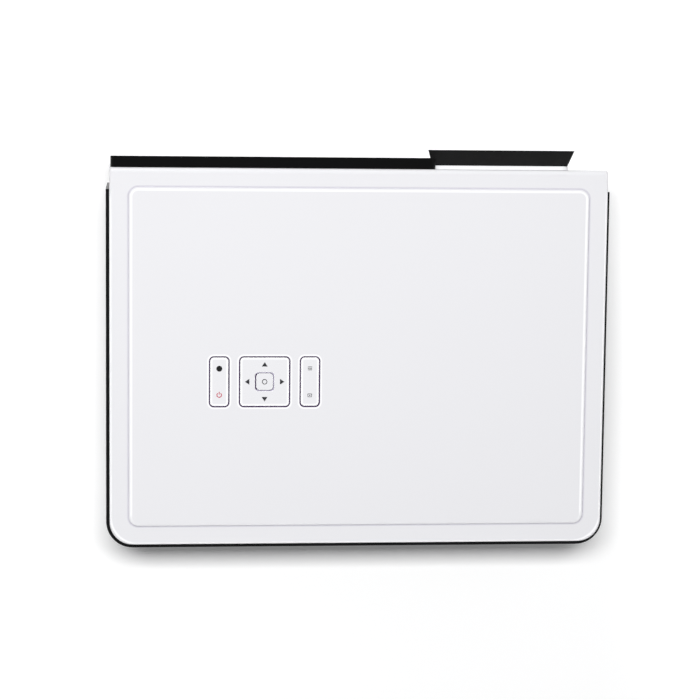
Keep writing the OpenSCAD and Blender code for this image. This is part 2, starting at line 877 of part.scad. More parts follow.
module tunnel_lid() {
    color([0.13, 0.13, 0.14]) on_lens_axis()
        translate([-tunnel_w / 2, tunnel_y, tunnel_h / 2]) difference() {
            cube([tunnel_w, tunnel_l, 1.8]);
            for (x = [8, tunnel_w - 8])
                for (y = [8, tunnel_l - 8])
                    translate([x, y, -cut]) cylinder(d = 3, h = 4);
        }
}

module held_plate(y, border) {
    translate([-glass_w / 2 - border, y - plate_t / 2, -glass_h / 2 - border])
        cube([glass_w + 2 * border, plate_t, glass_h + 2 * border]);
}

module picture_panel() {
    color([0.2, 0.25, 0.3]) on_lens_axis() held_plate(picture_y, 2.5);
}

module fresnel_plates() {
    color([0.75, 0.8, 0.85, 0.5]) on_lens_axis()
        for (s = [-1, 1]) held_plate(picture_y + s * fresnel_gap, 2.5);
}

module condenser_lens() {
    color([0.7, 0.78, 0.85, 0.5]) on_lens_axis() {
        translate([0, condenser_y, 0]) rotate([-90, 0, 0]) rotate_extrude() union() {
            intersection() {
                square([condenser_d / 2, 30]);
                translate([0, -38]) circle(r = 52, $fn = 180);
            }
            translate([0, -4]) square([condenser_d / 2, 4 + thin]);
        }
        // foot that stands on the tunnel's floor
        translate([-12, condenser_y - 4, -tunnel_h / 2 + tunnel_wall])
            cube([24, 3.5, tunnel_h / 2 - tunnel_wall - condenser_d / 2 + 1.5]);
    }
}

module led_module() {
    color([0.72, 0.45, 0.2]) on_lens_axis() {
        translate([-20, led_y + 8 - 1, -20]) cube([40, sink_y - led_y - 7, 40]);
        translate([-8, led_y + 4, -8]) cube([16, 3 + thin, 16]);
    }
}

module heat_sink() {
    size = fan_w - 2;
    color("silver") on_lens_axis() {
        translate([-size / 2, sink_y, -size / 2]) cube([size, sink_base, size]);
        pitch = (size - fin_t) / (fin_count - 1);
        for (i = [0:fin_count - 1])
            translate([-size / 2 + i * pitch, sink_y + sink_base - thin, -size / 2])
                cube([fin_t, fan_y - sink_y - sink_base - 2, size]);
    }
}

module fan_frame() {
    color([0.1, 0.1, 0.1]) on_lens_axis() {
        difference() {
            translate([-fan_w / 2, fan_y, -fan_w / 2]) cube([fan_w, fan_t, fan_w]);
            rod_y(fan_w - 2 * fan_wall, fan_y - cut, fan_y + fan_t + cut);
            for (sx = [-1, 1])
                for (sz = [-1, 1])
                    translate([sx * (fan_w / 2 - 4.2), 0, sz * (fan_w / 2 - 4.2)])
                        rod_y(4, fan_y - cut, fan_y + fan_t + cut);
        }
        // motor seat and its four struts at the outlet
        rod_y(fan_hub_d, fan_y + fan_t - 2.5, fan_y + fan_t);
        for (a = [0:90:270])
            rotate([0, a + 20, 0]) translate([fan_hub_d / 2 - 1, fan_y + fan_t - 2.5, -1.5])
                cube([fan_w / 2 - fan_hub_d / 2, 2.5, 3]);
        rod_y(4, fan_y + 5, fan_y + fan_t - 2);
    }
}

module fan_rotor() {
    color([0.14, 0.14, 0.14]) on_lens_axis() {
        difference() {
            rod_y(fan_hub_d, fan_y + 1, fan_y + fan_t - 3.2);
            rod_y(4 + 2 * thread_clear, fan_y + 4, fan_y + fan_t);
        }
        for (i = [0:fan_blades - 1])
            rotate([0, i * 360 / fan_blades, 0])
                translate([fan_hub_d / 2 - 1.5, fan_y + fan_t / 2 - 1, 0]) rotate([38, 0, 0])
                    translate([0, -0.8, -8]) cube([fan_w / 2 - fan_hub_d / 2 - 4.5, 1.6, 16]);
    }
}

// ---- Disc loader ----
module loader_chassis() {
    half = loader_w / 2;
    color([0.6, 0.61, 0.63]) in_loader() difference() {
        union() {
            difference() {
                translate([-half, 0, 0]) cube([loader_w, loader_d, loader_h]);
                translate([-half + loader_wall, loader_wall, loader_floor])
                    cube([loader_w - 2 * loader_wall, loader_d - 2 * loader_wall, loader_h]);
            }
            // ledges under the tray's edges and guides over them
            for (s = [-1, 1]) {
                translate([s * (half - 4.5) - 4.5, 30, tray_under - clear_gap - 2])
                    cube([9, loader_d - 31, 2]);
                translate([s * (half - 3.2) - 3.2, 8, tray_top + clear_gap])
                    cube([6.4, loader_d - 40, 2]);
            }
            // ears of the traverse's pivot
            for (s = [-1, 1])
                translate([s * (traverse_w / 2 + 3.5) - 1.5, pivot_y - 5, loader_floor - thin])
                    cube([3, 10, pivot_z + 5 - loader_floor]);
            translate([gear_x, gear_y, 0]) {
                upright(loader_floor - thin, pulley_low - 0.4 - thin) circle(d = gear_pin_d + 4);
                upright(loader_floor, tray_under - 1.5) circle(d = gear_pin_d);
            }
        }
        // doorway of the tray
        translate([-tray_w / 2 - 1, -cut, tray_under - rack_h - 1])
            cube([tray_w + 2, loader_wall + 2 * cut, rack_h + tray_t + 2]);
        // floor opening under the traverse
        translate([-traverse_w / 2 - 1.6, floor_gap_y, -cut])
            cube([traverse_w + 3.2, floor_gap_l, loader_floor + 2 * cut]);
        translate([0, pivot_y, pivot_z]) rod_x(pivot_pin_d + 2 * pin_clear, -half + 4, half - 4);
    }
}

// One trapezoid tooth with its root at y = 0 and its tip at y = depth
function tooth(root_w, tip_w, depth) =
    [[-root_w / 2, 0], [-tip_w / 2, depth], [tip_w / 2, depth], [root_w / 2, 0]];

module disc_tray() {
    rack_step = PI * gear_module;
    rack_line = gear_x + pitch_r + gear_module;
    rack_front = tray_front + 2;
    rack_rear = tray_front + tray_l - 2;
    color([0.13, 0.13, 0.14]) in_loader() {
        difference() {
            translate([0, tray_front + tray_l / 2, 0])
                upright(tray_under, tray_top) rounded(tray_w, tray_l, 3);
            translate([0, disc_back, tray_top - well_depth]) cylinder(d = well_d, h = tray_t);
            // deeper well of the small discs
            translate([0, disc_back, tray_top - well_depth - 1])
                cylinder(d = small_well_d, h = tray_t);
            translate([0, disc_back + (tray_slot_rear - tray_slot_front) / 2, 0])
                upright(tray_under - cut, tray_top + cut)
                    rounded(tray_slot_w, tray_slot_rear + tray_slot_front, 5);
        }
        // rack under the tray
        upright(tray_under - rack_h, tray_under + thin) {
            translate([rack_line, rack_front]) square([rack_back, rack_rear - rack_front]);
            for (i = [-floor((gear_y - rack_front) / rack_step):floor((rack_rear - gear_y) / rack_step) - 1])
                translate([rack_line + thin, gear_y + (i + 0.5) * rack_step])
                    rotate(90) polygon(tooth(2.2 * gear_module, 0.8 * gear_module, tooth_depth - 0.2));
        }
    }
}

module tray_door() {
    color([0.06, 0.06, 0.065]) {
        leaned() translate([loader_x, 0, -door_down])
            facing(-panel_out + door_t, -panel_out) rounded(door_w, door_h, 1.5);
        difference() {
            translate([loader_x - door_arm_w / 2, y_front - panel_out - 4, loader_z + tray_under])
                cube([door_arm_w, loader_y + tray_front - y_front + panel_out + 4, tray_t - 1]);
            leaned() facing(-panel_out + door_t / 2, -panel_out - 30)
                translate([0, -3 * body_h / 2]) square([body_w, 2 * body_h]);
        }
    }
}

module eject_button() {
    color([0.2, 0.2, 0.21]) leaned() translate([eject_x, 0, -door_down]) {
        facing(button_back + thin, -panel_out) circle(d = eject_d);
        facing(button_back + button_flange_t, button_back) circle(d = eject_d + 2 * button_flange);
    }
}

module loading_motor() {
    color("silver") in_loader() translate([motor_x, gear_y, 0]) {
        upright(loader_floor, pulley_low - 1) circle(d = motor_d);
        upright(pulley_low - 1 - thin, pulley_low + pulley_h) circle(d = motor_shaft_d);
    }
}

module motor_pulley() {
    color("ivory") in_loader() translate([motor_x, gear_y, 0]) difference() {
        upright(pulley_low, pulley_low + pulley_h) circle(d = small_pulley_d);
        upright(pulley_low - cut, pulley_low + pulley_h + cut)
            circle(d = motor_shaft_d + 2 * pin_clear);
    }
}

// Outline of the belt round both pulleys, standing off them by gap
module belt_loop(gap) {
    hull() {
        translate([gear_x, gear_y]) circle(d = pulley_d + 2 * gap);
        translate([motor_x, gear_y]) circle(d = small_pulley_d + 2 * gap);
    }
}

module loading_belt() {
    color([0.08, 0.08, 0.08]) in_loader()
        upright(pulley_low + 1, pulley_low + pulley_h - 1) difference() {
            belt_loop(belt_clear + belt_t);
            belt_loop(belt_clear);
        }
}

module loading_gear() {
    color("ivory") in_loader() translate([gear_x, gear_y, 0]) difference() {
        union() {
            upright(pulley_low, pulley_low + pulley_h) circle(d = pulley_d);
            upright(pulley_low, gear_low + gear_h) circle(d = gear_hub_d);
            upright(gear_low, gear_low + gear_h) {
                circle(r = pitch_r - gear_module);
                for (i = [0:gear_teeth - 1])
                    rotate(i * 360 / gear_teeth - 90) translate([0, pitch_r - gear_module - 0.1])
                        polygon(tooth(2.1 * gear_module, 0.7 * gear_module, tooth_depth - 0.1));
            }
        }
        upright(pulley_low - cut, gear_low + gear_h + cut) circle(d = gear_pin_d + 2 * pin_clear);
    }
}

module traverse_frame() {
    half = traverse_w / 2;
    rear = pivot_y + 3;
    color([0.35, 0.36, 0.38]) let_down() difference() {
        union() {
            translate([-half, traverse_front, traverse_z])
                cube([traverse_w, rear - traverse_front, traverse_t]);
            for (s = [-1, 1])
                translate([s * (half - 1) - 1, traverse_front, traverse_z])
                    cube([2, rear - traverse_front, traverse_rim]);
            // seats of the guide rods
            for (s = [-1, 1])
                for (y = [sled_y - 3.5, sled_y + sled_l + sled_travel + 1.5])
                    translate([s * rod_x - 2.5, y, traverse_z + traverse_t - thin])
                        cube([5, 2, rod_z - traverse_z]);
            for (s = [0, 1])
                mirror([s, 0, 0]) translate([0, pivot_y, pivot_z])
                    rod_x(pivot_pin_d, half - 3, half + pivot_pin_out);
        }
        translate([-sled_w / 2, sled_y - 1, traverse_z - cut])
            cube([sled_w, sled_l + sled_travel + 2, traverse_t + 2 * cut]);
    }
}

module spindle_motor() {
    color("silver") let_down() translate([0, disc_back, 0]) {
        upright(traverse_z + traverse_t, table_top - 4) circle(d = spindle_motor_d);
        upright(table_top - 4 - thin, table_top - 1) circle(d = 2);
    }
}

module turntable() {
    color([0.1, 0.1, 0.1]) let_down() translate([0, disc_back, 0]) difference() {
        union() {
            upright(table_top - 3.6, table_top) circle(d = turntable_d);
            upright(table_top - thin, table_top + hub_h - hub_nose) circle(d = hub_d);
            translate([0, 0, table_top + hub_h - hub_nose - thin])
                cylinder(d1 = hub_d, d2 = hub_d - 3, h = hub_nose);
        }
        upright(table_top - 4, table_top - 1 + 0.1) circle(d = 2 + 2 * pin_clear);
    }
}

module pickup_sled() {
    color([0.25, 0.25, 0.27]) let_down() difference() {
        union() {
            translate([-sled_w / 2, sled_y, rod_z - 3]) cube([sled_w, sled_l, 6.5]);
            translate([0, sled_y + sled_l / 2, 0]) upright(rod_z + 3, rod_z + 6) circle(d = 12);
            // arm that rides on the screw
            translate([sled_w / 2 - thin, sled_y + 4, rod_z - 1])
                cube([sled_screw_x - sled_w / 2 - 1.6, 8, 2]);
        }
        translate([0, sled_y + sled_l / 2, 0]) upright(rod_z + 5.4, rod_z + 7) circle(d = 7);
        for (s = [-1, 1])
            translate([s * rod_x, 0, rod_z])
                rod_y(rod_d + 2 * pin_clear, sled_y - cut, sled_y + sled_l + cut);
    }
}

module guide_rods() {
    color("silver") let_down()
        for (s = [-1, 1])
            translate([s * rod_x, 0, rod_z])
                rod_y(rod_d, sled_y - 1.5, sled_y + sled_l + sled_travel + 1.5);
}

module sled_screw() {
    color("gold") let_down() translate([sled_screw_x, 0, rod_z]) {
        rod_y(sled_screw_d, sled_y - 1, sled_y + sled_l + sled_travel);
        // raised turns of the thread
        for (y = [sled_y + 1:3:sled_y + sled_l + sled_travel - 2])
            rod_y(sled_screw_d + 0.3, y, y + 1);
    }
}

module sled_motor() {
    color("silver") let_down() translate([sled_screw_x, 0, rod_z]) {
        difference() {
            rod_y(8.6, sled_y - 14, sled_y - 1.4);
            rod_y(3, sled_y - 15, sled_y - 12);
        }
        translate([-3, sled_y - 12, traverse_z + traverse_t - rod_z]) cube([6, 8, 2]);
    }
}

module clamp_bridge() {
    half = loader_w / 2;
    color([0.6, 0.61, 0.63]) in_loader() difference() {
        union() {
            translate([-half, disc_back - bridge_w / 2, loader_h]) cube([loader_w, bridge_w, bridge_t]);
            for (s = [-1, 1])
                translate([-half, disc_back + s * (bridge_w / 2 - 1) - 1, loader_h]) cube([loader_w, 2, 4.5]);
        }
        translate([0, disc_back, loader_h - cut]) cylinder(d = bridge_bore, h = bridge_t + 2 * cut);
    }
}

module clamp_puck() {
    color([0.85, 0.85, 0.85]) in_loader() translate([0, disc_back, 0]) {
        upright(puck_low, puck_low + 2.5) circle(d = puck_d);
        upright(puck_low + 2.5 - thin, loader_h + bridge_t + 1) circle(d = puck_neck_d);
        upright(loader_h + bridge_t + 0.4, loader_h + bridge_t + 2) circle(d = puck_d + 2);
    }
}

// ---- Electronics ----
module board(y, depth) {
    translate([loader_x - board_w / 2, y, board_z]) cube([board_w, depth, board_t]);
}

// Row of upright round parts, such as capacitors
module can_row(x, y, count, pitch, d, h) {
    for (i = [0:count - 1])
        translate([x + i * pitch, y, socket_z - thin]) cylinder(d = d, h = h);
}

module block(x, y, w, d, h) {
    translate([x, y, socket_z - thin]) cube([w, d, h]);
}

module main_board() {
    left = loader_x - board_w / 2;
    color([0.05, 0.3, 0.15]) {
        board(main_y, main_d);
        block(left + 40, main_y + 26, 34, 34, 3);
        for (i = [0:5])
            block(left + 41 + i * 6, main_y + 27, 1.4, 32, 11);
        for (i = [0:2])
            block(left + 12, main_y + 20 + i * 14, 18, 10, 1.4);
        can_row(left + 84, main_y + 24, 3, 9, 6.5, 9);
        can_row(left + 84, main_y + 40, 3, 9, 8, 12);
        block(left + 16, main_y + 4, 30, 5, 6);
        block(left + 60, main_y + 4, 22, 5, 6);
        block(left + 94, main_y + 4, 16, 6, 6);
        block(left + 1, keypad_y - 1 , 6, 14, 3);
    }
}

module power_board() {
    left = loader_x - board_w / 2;
    color([0.1, 0.28, 0.1]) {
        board(power_y, power_d);
        block(left + 16, power_y + 30, 32, 34, 24);
        block(left + 60, power_y + 22, 3, 50, 22);
        block(left + 58, power_y + 78, 40, 3, 20);
        can_row(left + 28, power_y + 84, 1, 10, 18, 24);
        can_row(left + 72, power_y + 30, 3, 13, 10, 18);
        can_row(left + 72, power_y + 52, 3, 13, 8, 14);
        block(left + 18, power_y + 8, 14, 12, 14);
        block(left + 40, power_y + 8, 24, 8, 10);
    }
}

// Mains inlet and the seat of the switch beside it, moulded as one piece
module power_inlet() {
    face = y_wall + band_wall - 0.2;
    color([0.06, 0.06, 0.06]) {
        translate([inlet_x, 0, inlet_z]) difference() {
            union() {
                facing(face, y_wall - 20) rounded(inlet_w - 0.2, inlet_h - 0.2, 1);
                facing(y_wall, y_wall - 2) rounded(inlet_w + 6, inlet_h + 6, 2);
            }
            facing(face + cut, y_wall - inlet_depth) rounded(inlet_w - 4, inlet_h - 5, 2);
        }
        translate([switch_x, 0, inlet_z]) difference() {
            facing(y_wall, y_wall - 16) rounded(switch_w + 6, inlet_h + 6, 2);
            facing(y_wall + cut, y_wall - 13.5) rounded(switch_w - 0.4, switch_h - 0.4, 0.5);
            translate([0, switch_pivot, 0]) rod_x(2 + 2 * pin_clear, -switch_w / 2 - 2, switch_w / 2 + 2);
        }
        translate([inlet_x + inlet_w / 2, y_wall - 2, inlet_z - inlet_h / 2])
            cube([switch_x - switch_w / 2 - inlet_x - inlet_w / 2, 2, inlet_h]);
        // contact blades
        for (x = [-6, 0, 6])
            translate([inlet_x + x - 1, y_wall - inlet_depth - thin, inlet_z + (x == 0 ? 3 : -3) - 2])
                cube([2, inlet_depth - 2, 4]);
    }
}

module power_switch() {
    reach = y_wall + band_wall - switch_pivot;
    color([0.08, 0.08, 0.08]) translate([switch_x, switch_pivot, inlet_z]) {
        rotate([-switch_a, 0, 0]) sideways(-switch_w / 2 + 0.8, switch_w / 2 - 0.8)
            polygon([
                [reach - 2.6, 0], [reach - 1.6, switch_h / 2 - 1.6], [0, switch_h / 2 - 1.9], [-6, 3],
                [-6, -3], [0, -switch_h / 2 + 1.9], [reach - 1.6, -switch_h / 2 + 1.6]
            ]);
        rod_x(2, -switch_w / 2 - 1, switch_w / 2 + 1);
    }
}

// Metal shell of a socket with its mouth to the rear and a tongue inside
module socket(x, w, low, h) {
    back = y_wall + band_wall - 0.3;
    difference() {
        translate([x - w / 2, y_wall - 12, low]) cube([w, back - y_wall + 12, h]);
        translate([x - w / 2 + 0.5, y_wall - 9, low + 0.5]) cube([w - 1, 20, h - 1]);
    }
    translate([x - w / 2 + 2, y_wall - 9 - thin, low + h / 2 - 0.6]) cube([w - 4, 8, 1.2]);
}

module signal_sockets() {
    color("silver") {
        socket(hdmi_x, 15, socket_low, socket_h);
        translate([hdmi_x - 6, y_wall - 12, socket_z]) cube([12, 6, socket_low - socket_z + thin]);
        for (i = [0, 1]) socket(usb_x, 14, socket_low + i * usb_pitch, socket_h);
        translate([usb_x - 6, y_wall - 12, socket_z]) cube([12, 6, socket_low - socket_z + thin]);
        translate([usb_x - 7, y_wall - 12, socket_low + socket_h - thin])
            cube([14, 8, usb_pitch - socket_h + 2 * thin]);
    }
}

module sound_jacks() {
    color([0.12, 0.12, 0.12])
        for (i = [0, 1])
            translate([jack_x - i * jack_pitch, 0, jack_z]) difference() {
                union() {
                    translate([-5.5, y_wall - 14, socket_z - jack_z]) cube([11, 13.7, 11.5]);
                    rod_y(jack_nose_d, y_wall - 1, y_wall + band_wall - 0.3);
                }
                rod_y(jack_bore, y_wall - 12, y_wall + band_wall + cut);
            }
}

module speakers() {
    color([0.1, 0.1, 0.1])
        for (s = [-1, 1])
            mirror([s < 0 ? 1 : 0, 0, 0])
                translate([band_w / 2 - band_wall, grille_y, grille_z]) difference() {
                    union() {
                        sideways(-speaker_plate_t, 0) rounded(speaker_w, grille_h + 8, 4);
                        sideways(-speaker_t, -speaker_plate_t + thin)
                            rounded(speaker_w - 6, speaker_h, speaker_r);
                    }
                    sideways(-speaker_t + 4, cut) rounded(speaker_w - 12, speaker_h - 6, speaker_r);
                }
}

module keypad_board() {
    color([0.05, 0.3, 0.15]) translate([keypad_x, keypad_y, 0])
        upright(keypad_board_z, keypad_board_z + board_t)
            rounded(2 * (key_pitch + side_key_w / 2 + 9), key_l + 6, 2);
}

// Places of the switch domes under the keys, from the keypad's centre
function dome_places() = [
    [0, 0], [pad_dome, 0], [-pad_dome, 0], [0, pad_dome], [0, -pad_dome],
    [key_pitch, side_dome], [-key_pitch, side_dome], [-key_pitch, -side_dome]
];

module keymat() {
    color([0.75, 0.75, 0.75]) translate([keypad_x, keypad_y, 0]) {
        upright(mat_z, mat_z + mat_t)
            rounded(2 * key_pitch + side_key_w + 2, key_l + 2, 2);
        for (p = dome_places())
            translate([p[0], p[1], mat_z + mat_t - thin]) cylinder(d1 = 6, d2 = 4.4, h = dome_h);
    }
}

// Cap with its retaining flange under the cover, let down by drop to leave room to rock
module key_cap(w, l, drop = 0) {
    upright(key_low - key_flange_t, z_face) rounded(w, l, key_r);
    upright(key_low - key_flange_t, key_low - drop)
        rounded(w + 2 * (key_gap + key_flange), l + 2 * (key_gap + key_flange), key_r + key_flange);
}

module key_stem(x, y) {
    translate([x, y, 0]) upright(key_bottom, key_low - key_flange_t + thin) circle(d = 4);
}

module power_key() {
    color("white") translate([keypad_x, keypad_y, 0]) {
        translate([key_pitch, 0, 0]) key_cap(side_key_w, key_l);
        key_stem(key_pitch, side_dome);
    }
}

module menu_key() {
    color("white") translate([keypad_x, keypad_y, 0]) {
        translate([-key_pitch, 0, 0]) key_cap(side_key_w, key_l);
        for (s = [-1, 1]) key_stem(-key_pitch, s * side_dome);
    }
}

module direction_pad() {
    color("white") translate([keypad_x, keypad_y, 0]) difference() {
        union() {
            key_cap(key_l, key_l, pad_drop);
            for (p = [[1, 0], [-1, 0], [0, 1], [0, -1]]) key_stem(p[0] * pad_dome, p[1] * pad_dome);
        }
        upright(key_bottom - cut, z_face + cut) rounded(ok_w + 2 * key_gap, ok_w + 2 * key_gap, key_r);
    }
}

// Ring that lets the direction pad rock both ways
module pad_carrier() {
    color([0.3, 0.3, 0.3]) translate([keypad_x, keypad_y, 0])
        upright(key_bottom - 0.1, key_low - key_flange_t - clear_gap) difference() {
            rounded(ok_w + 7.4, ok_w + 7.4, 2.5);
            rounded(ok_w + 4, ok_w + 4, 1.5);
        }
}

module ok_key() {
    color("white") translate([keypad_x, keypad_y, 0]) {
        upright(key_bottom + 0.1, z_face) rounded(ok_w, ok_w, key_r);
        upright(key_bottom + 0.1, key_low - key_flange_t - clear_gap)
            rounded(ok_w + 3, ok_w + 3, key_r);
    }
}

module ribbon_cables() {
    gap_x = (lens_x + tunnel_w / 2 + loader_x - loader_w / 2) / 2;
    board_left = loader_x - board_w / 2;
    pad_left = keypad_x - key_pitch - side_key_w / 2 - 9;
    color([0.85, 0.85, 0.82]) {
        // from the keypad's board, down beside the loader, to the main board
        facing(keypad_y + 12, keypad_y) {
            translate([gap_x, keypad_board_z - 0.6]) square([pad_left + 6 - gap_x, 0.6]);
            translate([gap_x, socket_z + 6]) square([0.6, keypad_board_z - socket_z - 6]);
            translate([gap_x, socket_z + 6]) square([board_left + 3 - gap_x, 0.6]);
            translate([board_left + 2.4, socket_z + 3 - thin]) square([0.6, 3.6]);
        }
        // from the loader's floor to the main board
        translate([board_left + board_w - 16, main_y + 7, socket_z + 6 - thin])
            cube([12, 0.6, loader_z - socket_z - 6 + thin]);
    }
}

top_cover();
front_frame();
front_panel();
ir_window();
lens_collar();
lens_hood();
side_band();
side_grilles();
fan_grille();
bottom_case();
rubber_feet();
adjuster_screw();
adjuster_pad();
case_screws();
focus_ring();
lens_barrel();
lens_elements();
lens_sleeve();
light_tunnel();
tunnel_lid();
picture_panel();
fresnel_plates();
condenser_lens();
led_module();
heat_sink();
fan_frame();
fan_rotor();
loader_chassis();
disc_tray();
tray_door();
eject_button();
loading_motor();
motor_pulley();
loading_belt();
loading_gear();
traverse_frame();
spindle_motor();
turntable();
pickup_sled();
guide_rods();
sled_screw();
sled_motor();
clamp_bridge();
clamp_puck();
main_board();
power_board();
power_inlet();
power_switch();
signal_sockets();
sound_jacks();
speakers();
keypad_board();
keymat();
power_key();
menu_key();
pad_carrier();
direction_pad();
ok_key();
ribbon_cables();
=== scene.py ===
# A desk projector with a disc player built in: a white case with a black band round its lower walls,
# a hooded lens on the left as seen from the front, a disc tray in the black front panel and a keypad on
# the top cover. The pieces follow one another in the order in which the real one is put together.
import math

import bmesh
import bpy
from mathutils import Matrix, Vector


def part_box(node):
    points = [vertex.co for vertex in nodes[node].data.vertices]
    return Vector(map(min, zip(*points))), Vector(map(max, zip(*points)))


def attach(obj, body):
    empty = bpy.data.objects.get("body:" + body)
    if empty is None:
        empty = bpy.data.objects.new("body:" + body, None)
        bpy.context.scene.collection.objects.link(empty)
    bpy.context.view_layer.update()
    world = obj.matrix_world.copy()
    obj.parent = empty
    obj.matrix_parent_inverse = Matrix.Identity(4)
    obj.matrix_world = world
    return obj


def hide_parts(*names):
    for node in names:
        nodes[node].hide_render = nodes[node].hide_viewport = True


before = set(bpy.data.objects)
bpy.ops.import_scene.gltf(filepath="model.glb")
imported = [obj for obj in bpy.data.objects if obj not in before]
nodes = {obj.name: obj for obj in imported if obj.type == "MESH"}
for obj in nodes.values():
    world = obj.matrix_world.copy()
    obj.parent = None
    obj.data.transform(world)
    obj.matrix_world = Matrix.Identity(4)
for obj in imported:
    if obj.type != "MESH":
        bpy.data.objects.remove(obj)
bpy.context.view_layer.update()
mm = 0.001


# ---- Viewpoint ----
# A long lens almost straight above the cover, with the projector's front at the top of the picture.
def added(name, data):
    """Puts a mesh, lamp or camera into the scene as an object and returns it."""
    thing = bpy.data.objects.new(name, data)
    bpy.context.scene.collection.objects.link(thing)
    return thing


viewpoint = bpy.data.cameras.new("viewpoint")
viewpoint.sensor_width = 36.0
viewpoint.lens = 118.153
viewpoint.clip_end = 20.0
viewer = added("viewpoint", viewpoint)
viewer.location = (0.146751, -0.176103, 1.581713)
viewer.rotation_euler = [math.radians(a) for a in (-6.84138, -5.39077, -179.36541)]
bpy.context.scene.camera = viewer
bpy.context.scene.view_settings.view_transform = "Standard"


# ---- Floor and light ----
# A plain white table top, which the camera sees as white while it keeps the soft shadow. It can be seen
# through from below, to show the underside.
# One large soft lamp stands a little in front of the projector, and the white room fills the rest.
def feed(tree, node, feeds):
    """Sets each named socket of a node to a value, or links it to what feeds it."""
    for key, value in feeds.items():
        for source in value if isinstance(value, list) else [value]:
            if isinstance(source, bpy.types.NodeSocket):
                tree.links.new(source, node.inputs[key])
            else:
                node.inputs[key].default_value = source


def put(tree, kind, feeds=None, **settings):
    """Adds one node to a shader or geometry tree, with its settings and with what feeds its sockets."""
    node = tree.nodes.new(kind)
    for key, value in settings.items():
        setattr(node, key, value)
    feed(tree, node, feeds or {})
    return node


def shader_of(material):
    """Returns a material's tree and its Principled shader."""
    return material.node_tree, material.node_tree.nodes["Principled BSDF"]


def surface(name):
    """Returns a new material, its tree and its empty Principled shader."""
    material = bpy.data.materials.new(name)
    material.use_nodes = True
    return material, *shader_of(material)


def mixed(tree, amount, low, high):
    """Mixes two colours by an amount and returns the mixed colour."""
    feeds = {"Factor": amount, 6: low, 7: high}
    return put(tree, "ShaderNodeMix", feeds, data_type="RGBA").outputs[2]


def value_of(tree, operation, *terms, clamp=False):
    """Adds a Math node over one to three terms and returns its value."""
    node = put(tree, "ShaderNodeMath", dict(enumerate(terms)), operation=operation, use_clamp=clamp)
    return node.outputs[0]


def part_of(tree, vector, axis):
    """Returns the part of a vector that lies along one axis."""
    return put(tree, "ShaderNodeSeparateXYZ", {0: vector}).outputs[axis]


def ranged(tree, value, start, stop, low=0.0, high=1.0):
    """Stretches a value's run from start to stop over low to high, and stops it at both ends."""
    span = {"Value": value, "From Min": start, "From Max": stop, "To Min": low, "To Max": high}
    return put(tree, "ShaderNodeMapRange", span).outputs[0]


table_white, tree, shader = surface("table_white")
rays = put(tree, "ShaderNodeLightPath").outputs
seen = value_of(tree, "ADD", rays["Is Camera Ray"], rays["Is Glossy Ray"])
seen = value_of(tree, "ADD", seen, rays["Is Transmission Ray"], clamp=True)
from_below = put(tree, "ShaderNodeNewGeometry").outputs["Backfacing"]
feed(tree, shader, {
    "Base Color": mixed(tree, seen, (0.72, 0.72, 0.72, 1), (1, 1, 1, 1)),
    "Roughness": 0.9,
    "Specular IOR Level": 0.0,
    "Emission Color": (1, 1, 1, 1),
    "Emission Strength": value_of(tree, "MULTIPLY", seen, 0.06),
    "Alpha": value_of(tree, "SUBTRACT", 1.0, from_below),
})
table = bpy.data.meshes.new("table_top")
table.from_pydata([(-6, -6, 0), (6, -6, 0), (6, 6, 0), (-6, 6, 0)], [], [(0, 1, 2, 3)])
table.materials.append(table_white)
table = added("table_top", table)

room = bpy.data.worlds.new("white_room")
room.use_nodes = True
tree = room.node_tree
ray = put(tree, "ShaderNodeTexCoord").outputs["Generated"]
at_horizon, at_top = 0.34, 0.13
level = ranged(tree, part_of(tree, ray, "Z"), 0.2, 1.0, at_horizon, at_top)
feed(tree, tree.nodes["Background"], {"Color": (0.975, 0.985, 1.0, 1), "Strength": level})
bpy.context.scene.world = room


def lamp(name, place, aim, width, height, power):
    """An oblong soft lamp at a place, turned to shine at the aim."""
    light = bpy.data.lights.new(name, "AREA")
    light.shape = "RECTANGLE"
    light.size = width
    light.size_y = height
    light.energy = power
    holder = added(name, light)
    holder.location = place
    holder.rotation_euler = (Vector(aim) - Vector(place)).to_track_quat("-Z", "Y").to_euler()
    return holder


overhead = lamp("overhead_softbox", (0.2, -0.466, 2.15), (0.2, 0.0, 0.0), 0.66, 0.25, 42.0)
overhead.visible_glossy = False
lamp("front_softbox", (0.5, -2.2, 1.3), (0.0, 0.0, 0.06), 0.8, 0.8, 9.0)


# ---- Bottom case ----
# The tub that everything is screwed into: moulded white plastic with a fine spark-eroded grain,
# with posts, legs and rails inside and slots for the cooling air under the boards.
def socket_group(name, kind, takes, gives):
    """Starts a node group with named sockets and returns it with its inner input and output nodes."""
    tree = bpy.data.node_groups.new(name, kind)
    for label, sort, value in takes:
        socket = tree.interface.new_socket(label, in_out="INPUT", socket_type="NodeSocket" + sort)
        if value is not None:
            socket.default_value = value
    for label, sort in gives:
        tree.interface.new_socket(label, in_out="OUTPUT", socket_type="NodeSocket" + sort)
    return tree, tree.nodes.new("NodeGroupInput").outputs, tree.nodes.new("NodeGroupOutput")


def object_spot(tree):
    """Returns the place on the piece that is being shaded, in metres."""
    return put(tree, "ShaderNodeTexCoord").outputs["Object"]


def noise(tree, spot, scale, detail):
    """Returns a cloudy value between nought and one."""
    feeds = {"Vector": spot, "Scale": scale, "Detail": detail}
    return put(tree, "ShaderNodeTexNoise", feeds).outputs["Fac"]


def toned(tree, colour, value, saturation=1.0):
    """Returns a colour made darker or lighter, and greyer where the saturation is below one."""
    feeds = {"Color": colour, "Value": value, "Saturation": saturation}
    return put(tree, "ShaderNodeHueSaturation", feeds).outputs[0]


def bump(tree, height, strength, distance):
    """Returns a normal that leans as the height changes."""
    feeds = {"Height": height, "Strength": strength, "Distance": distance}
    return put(tree, "ShaderNodeBump", feeds).outputs[0]


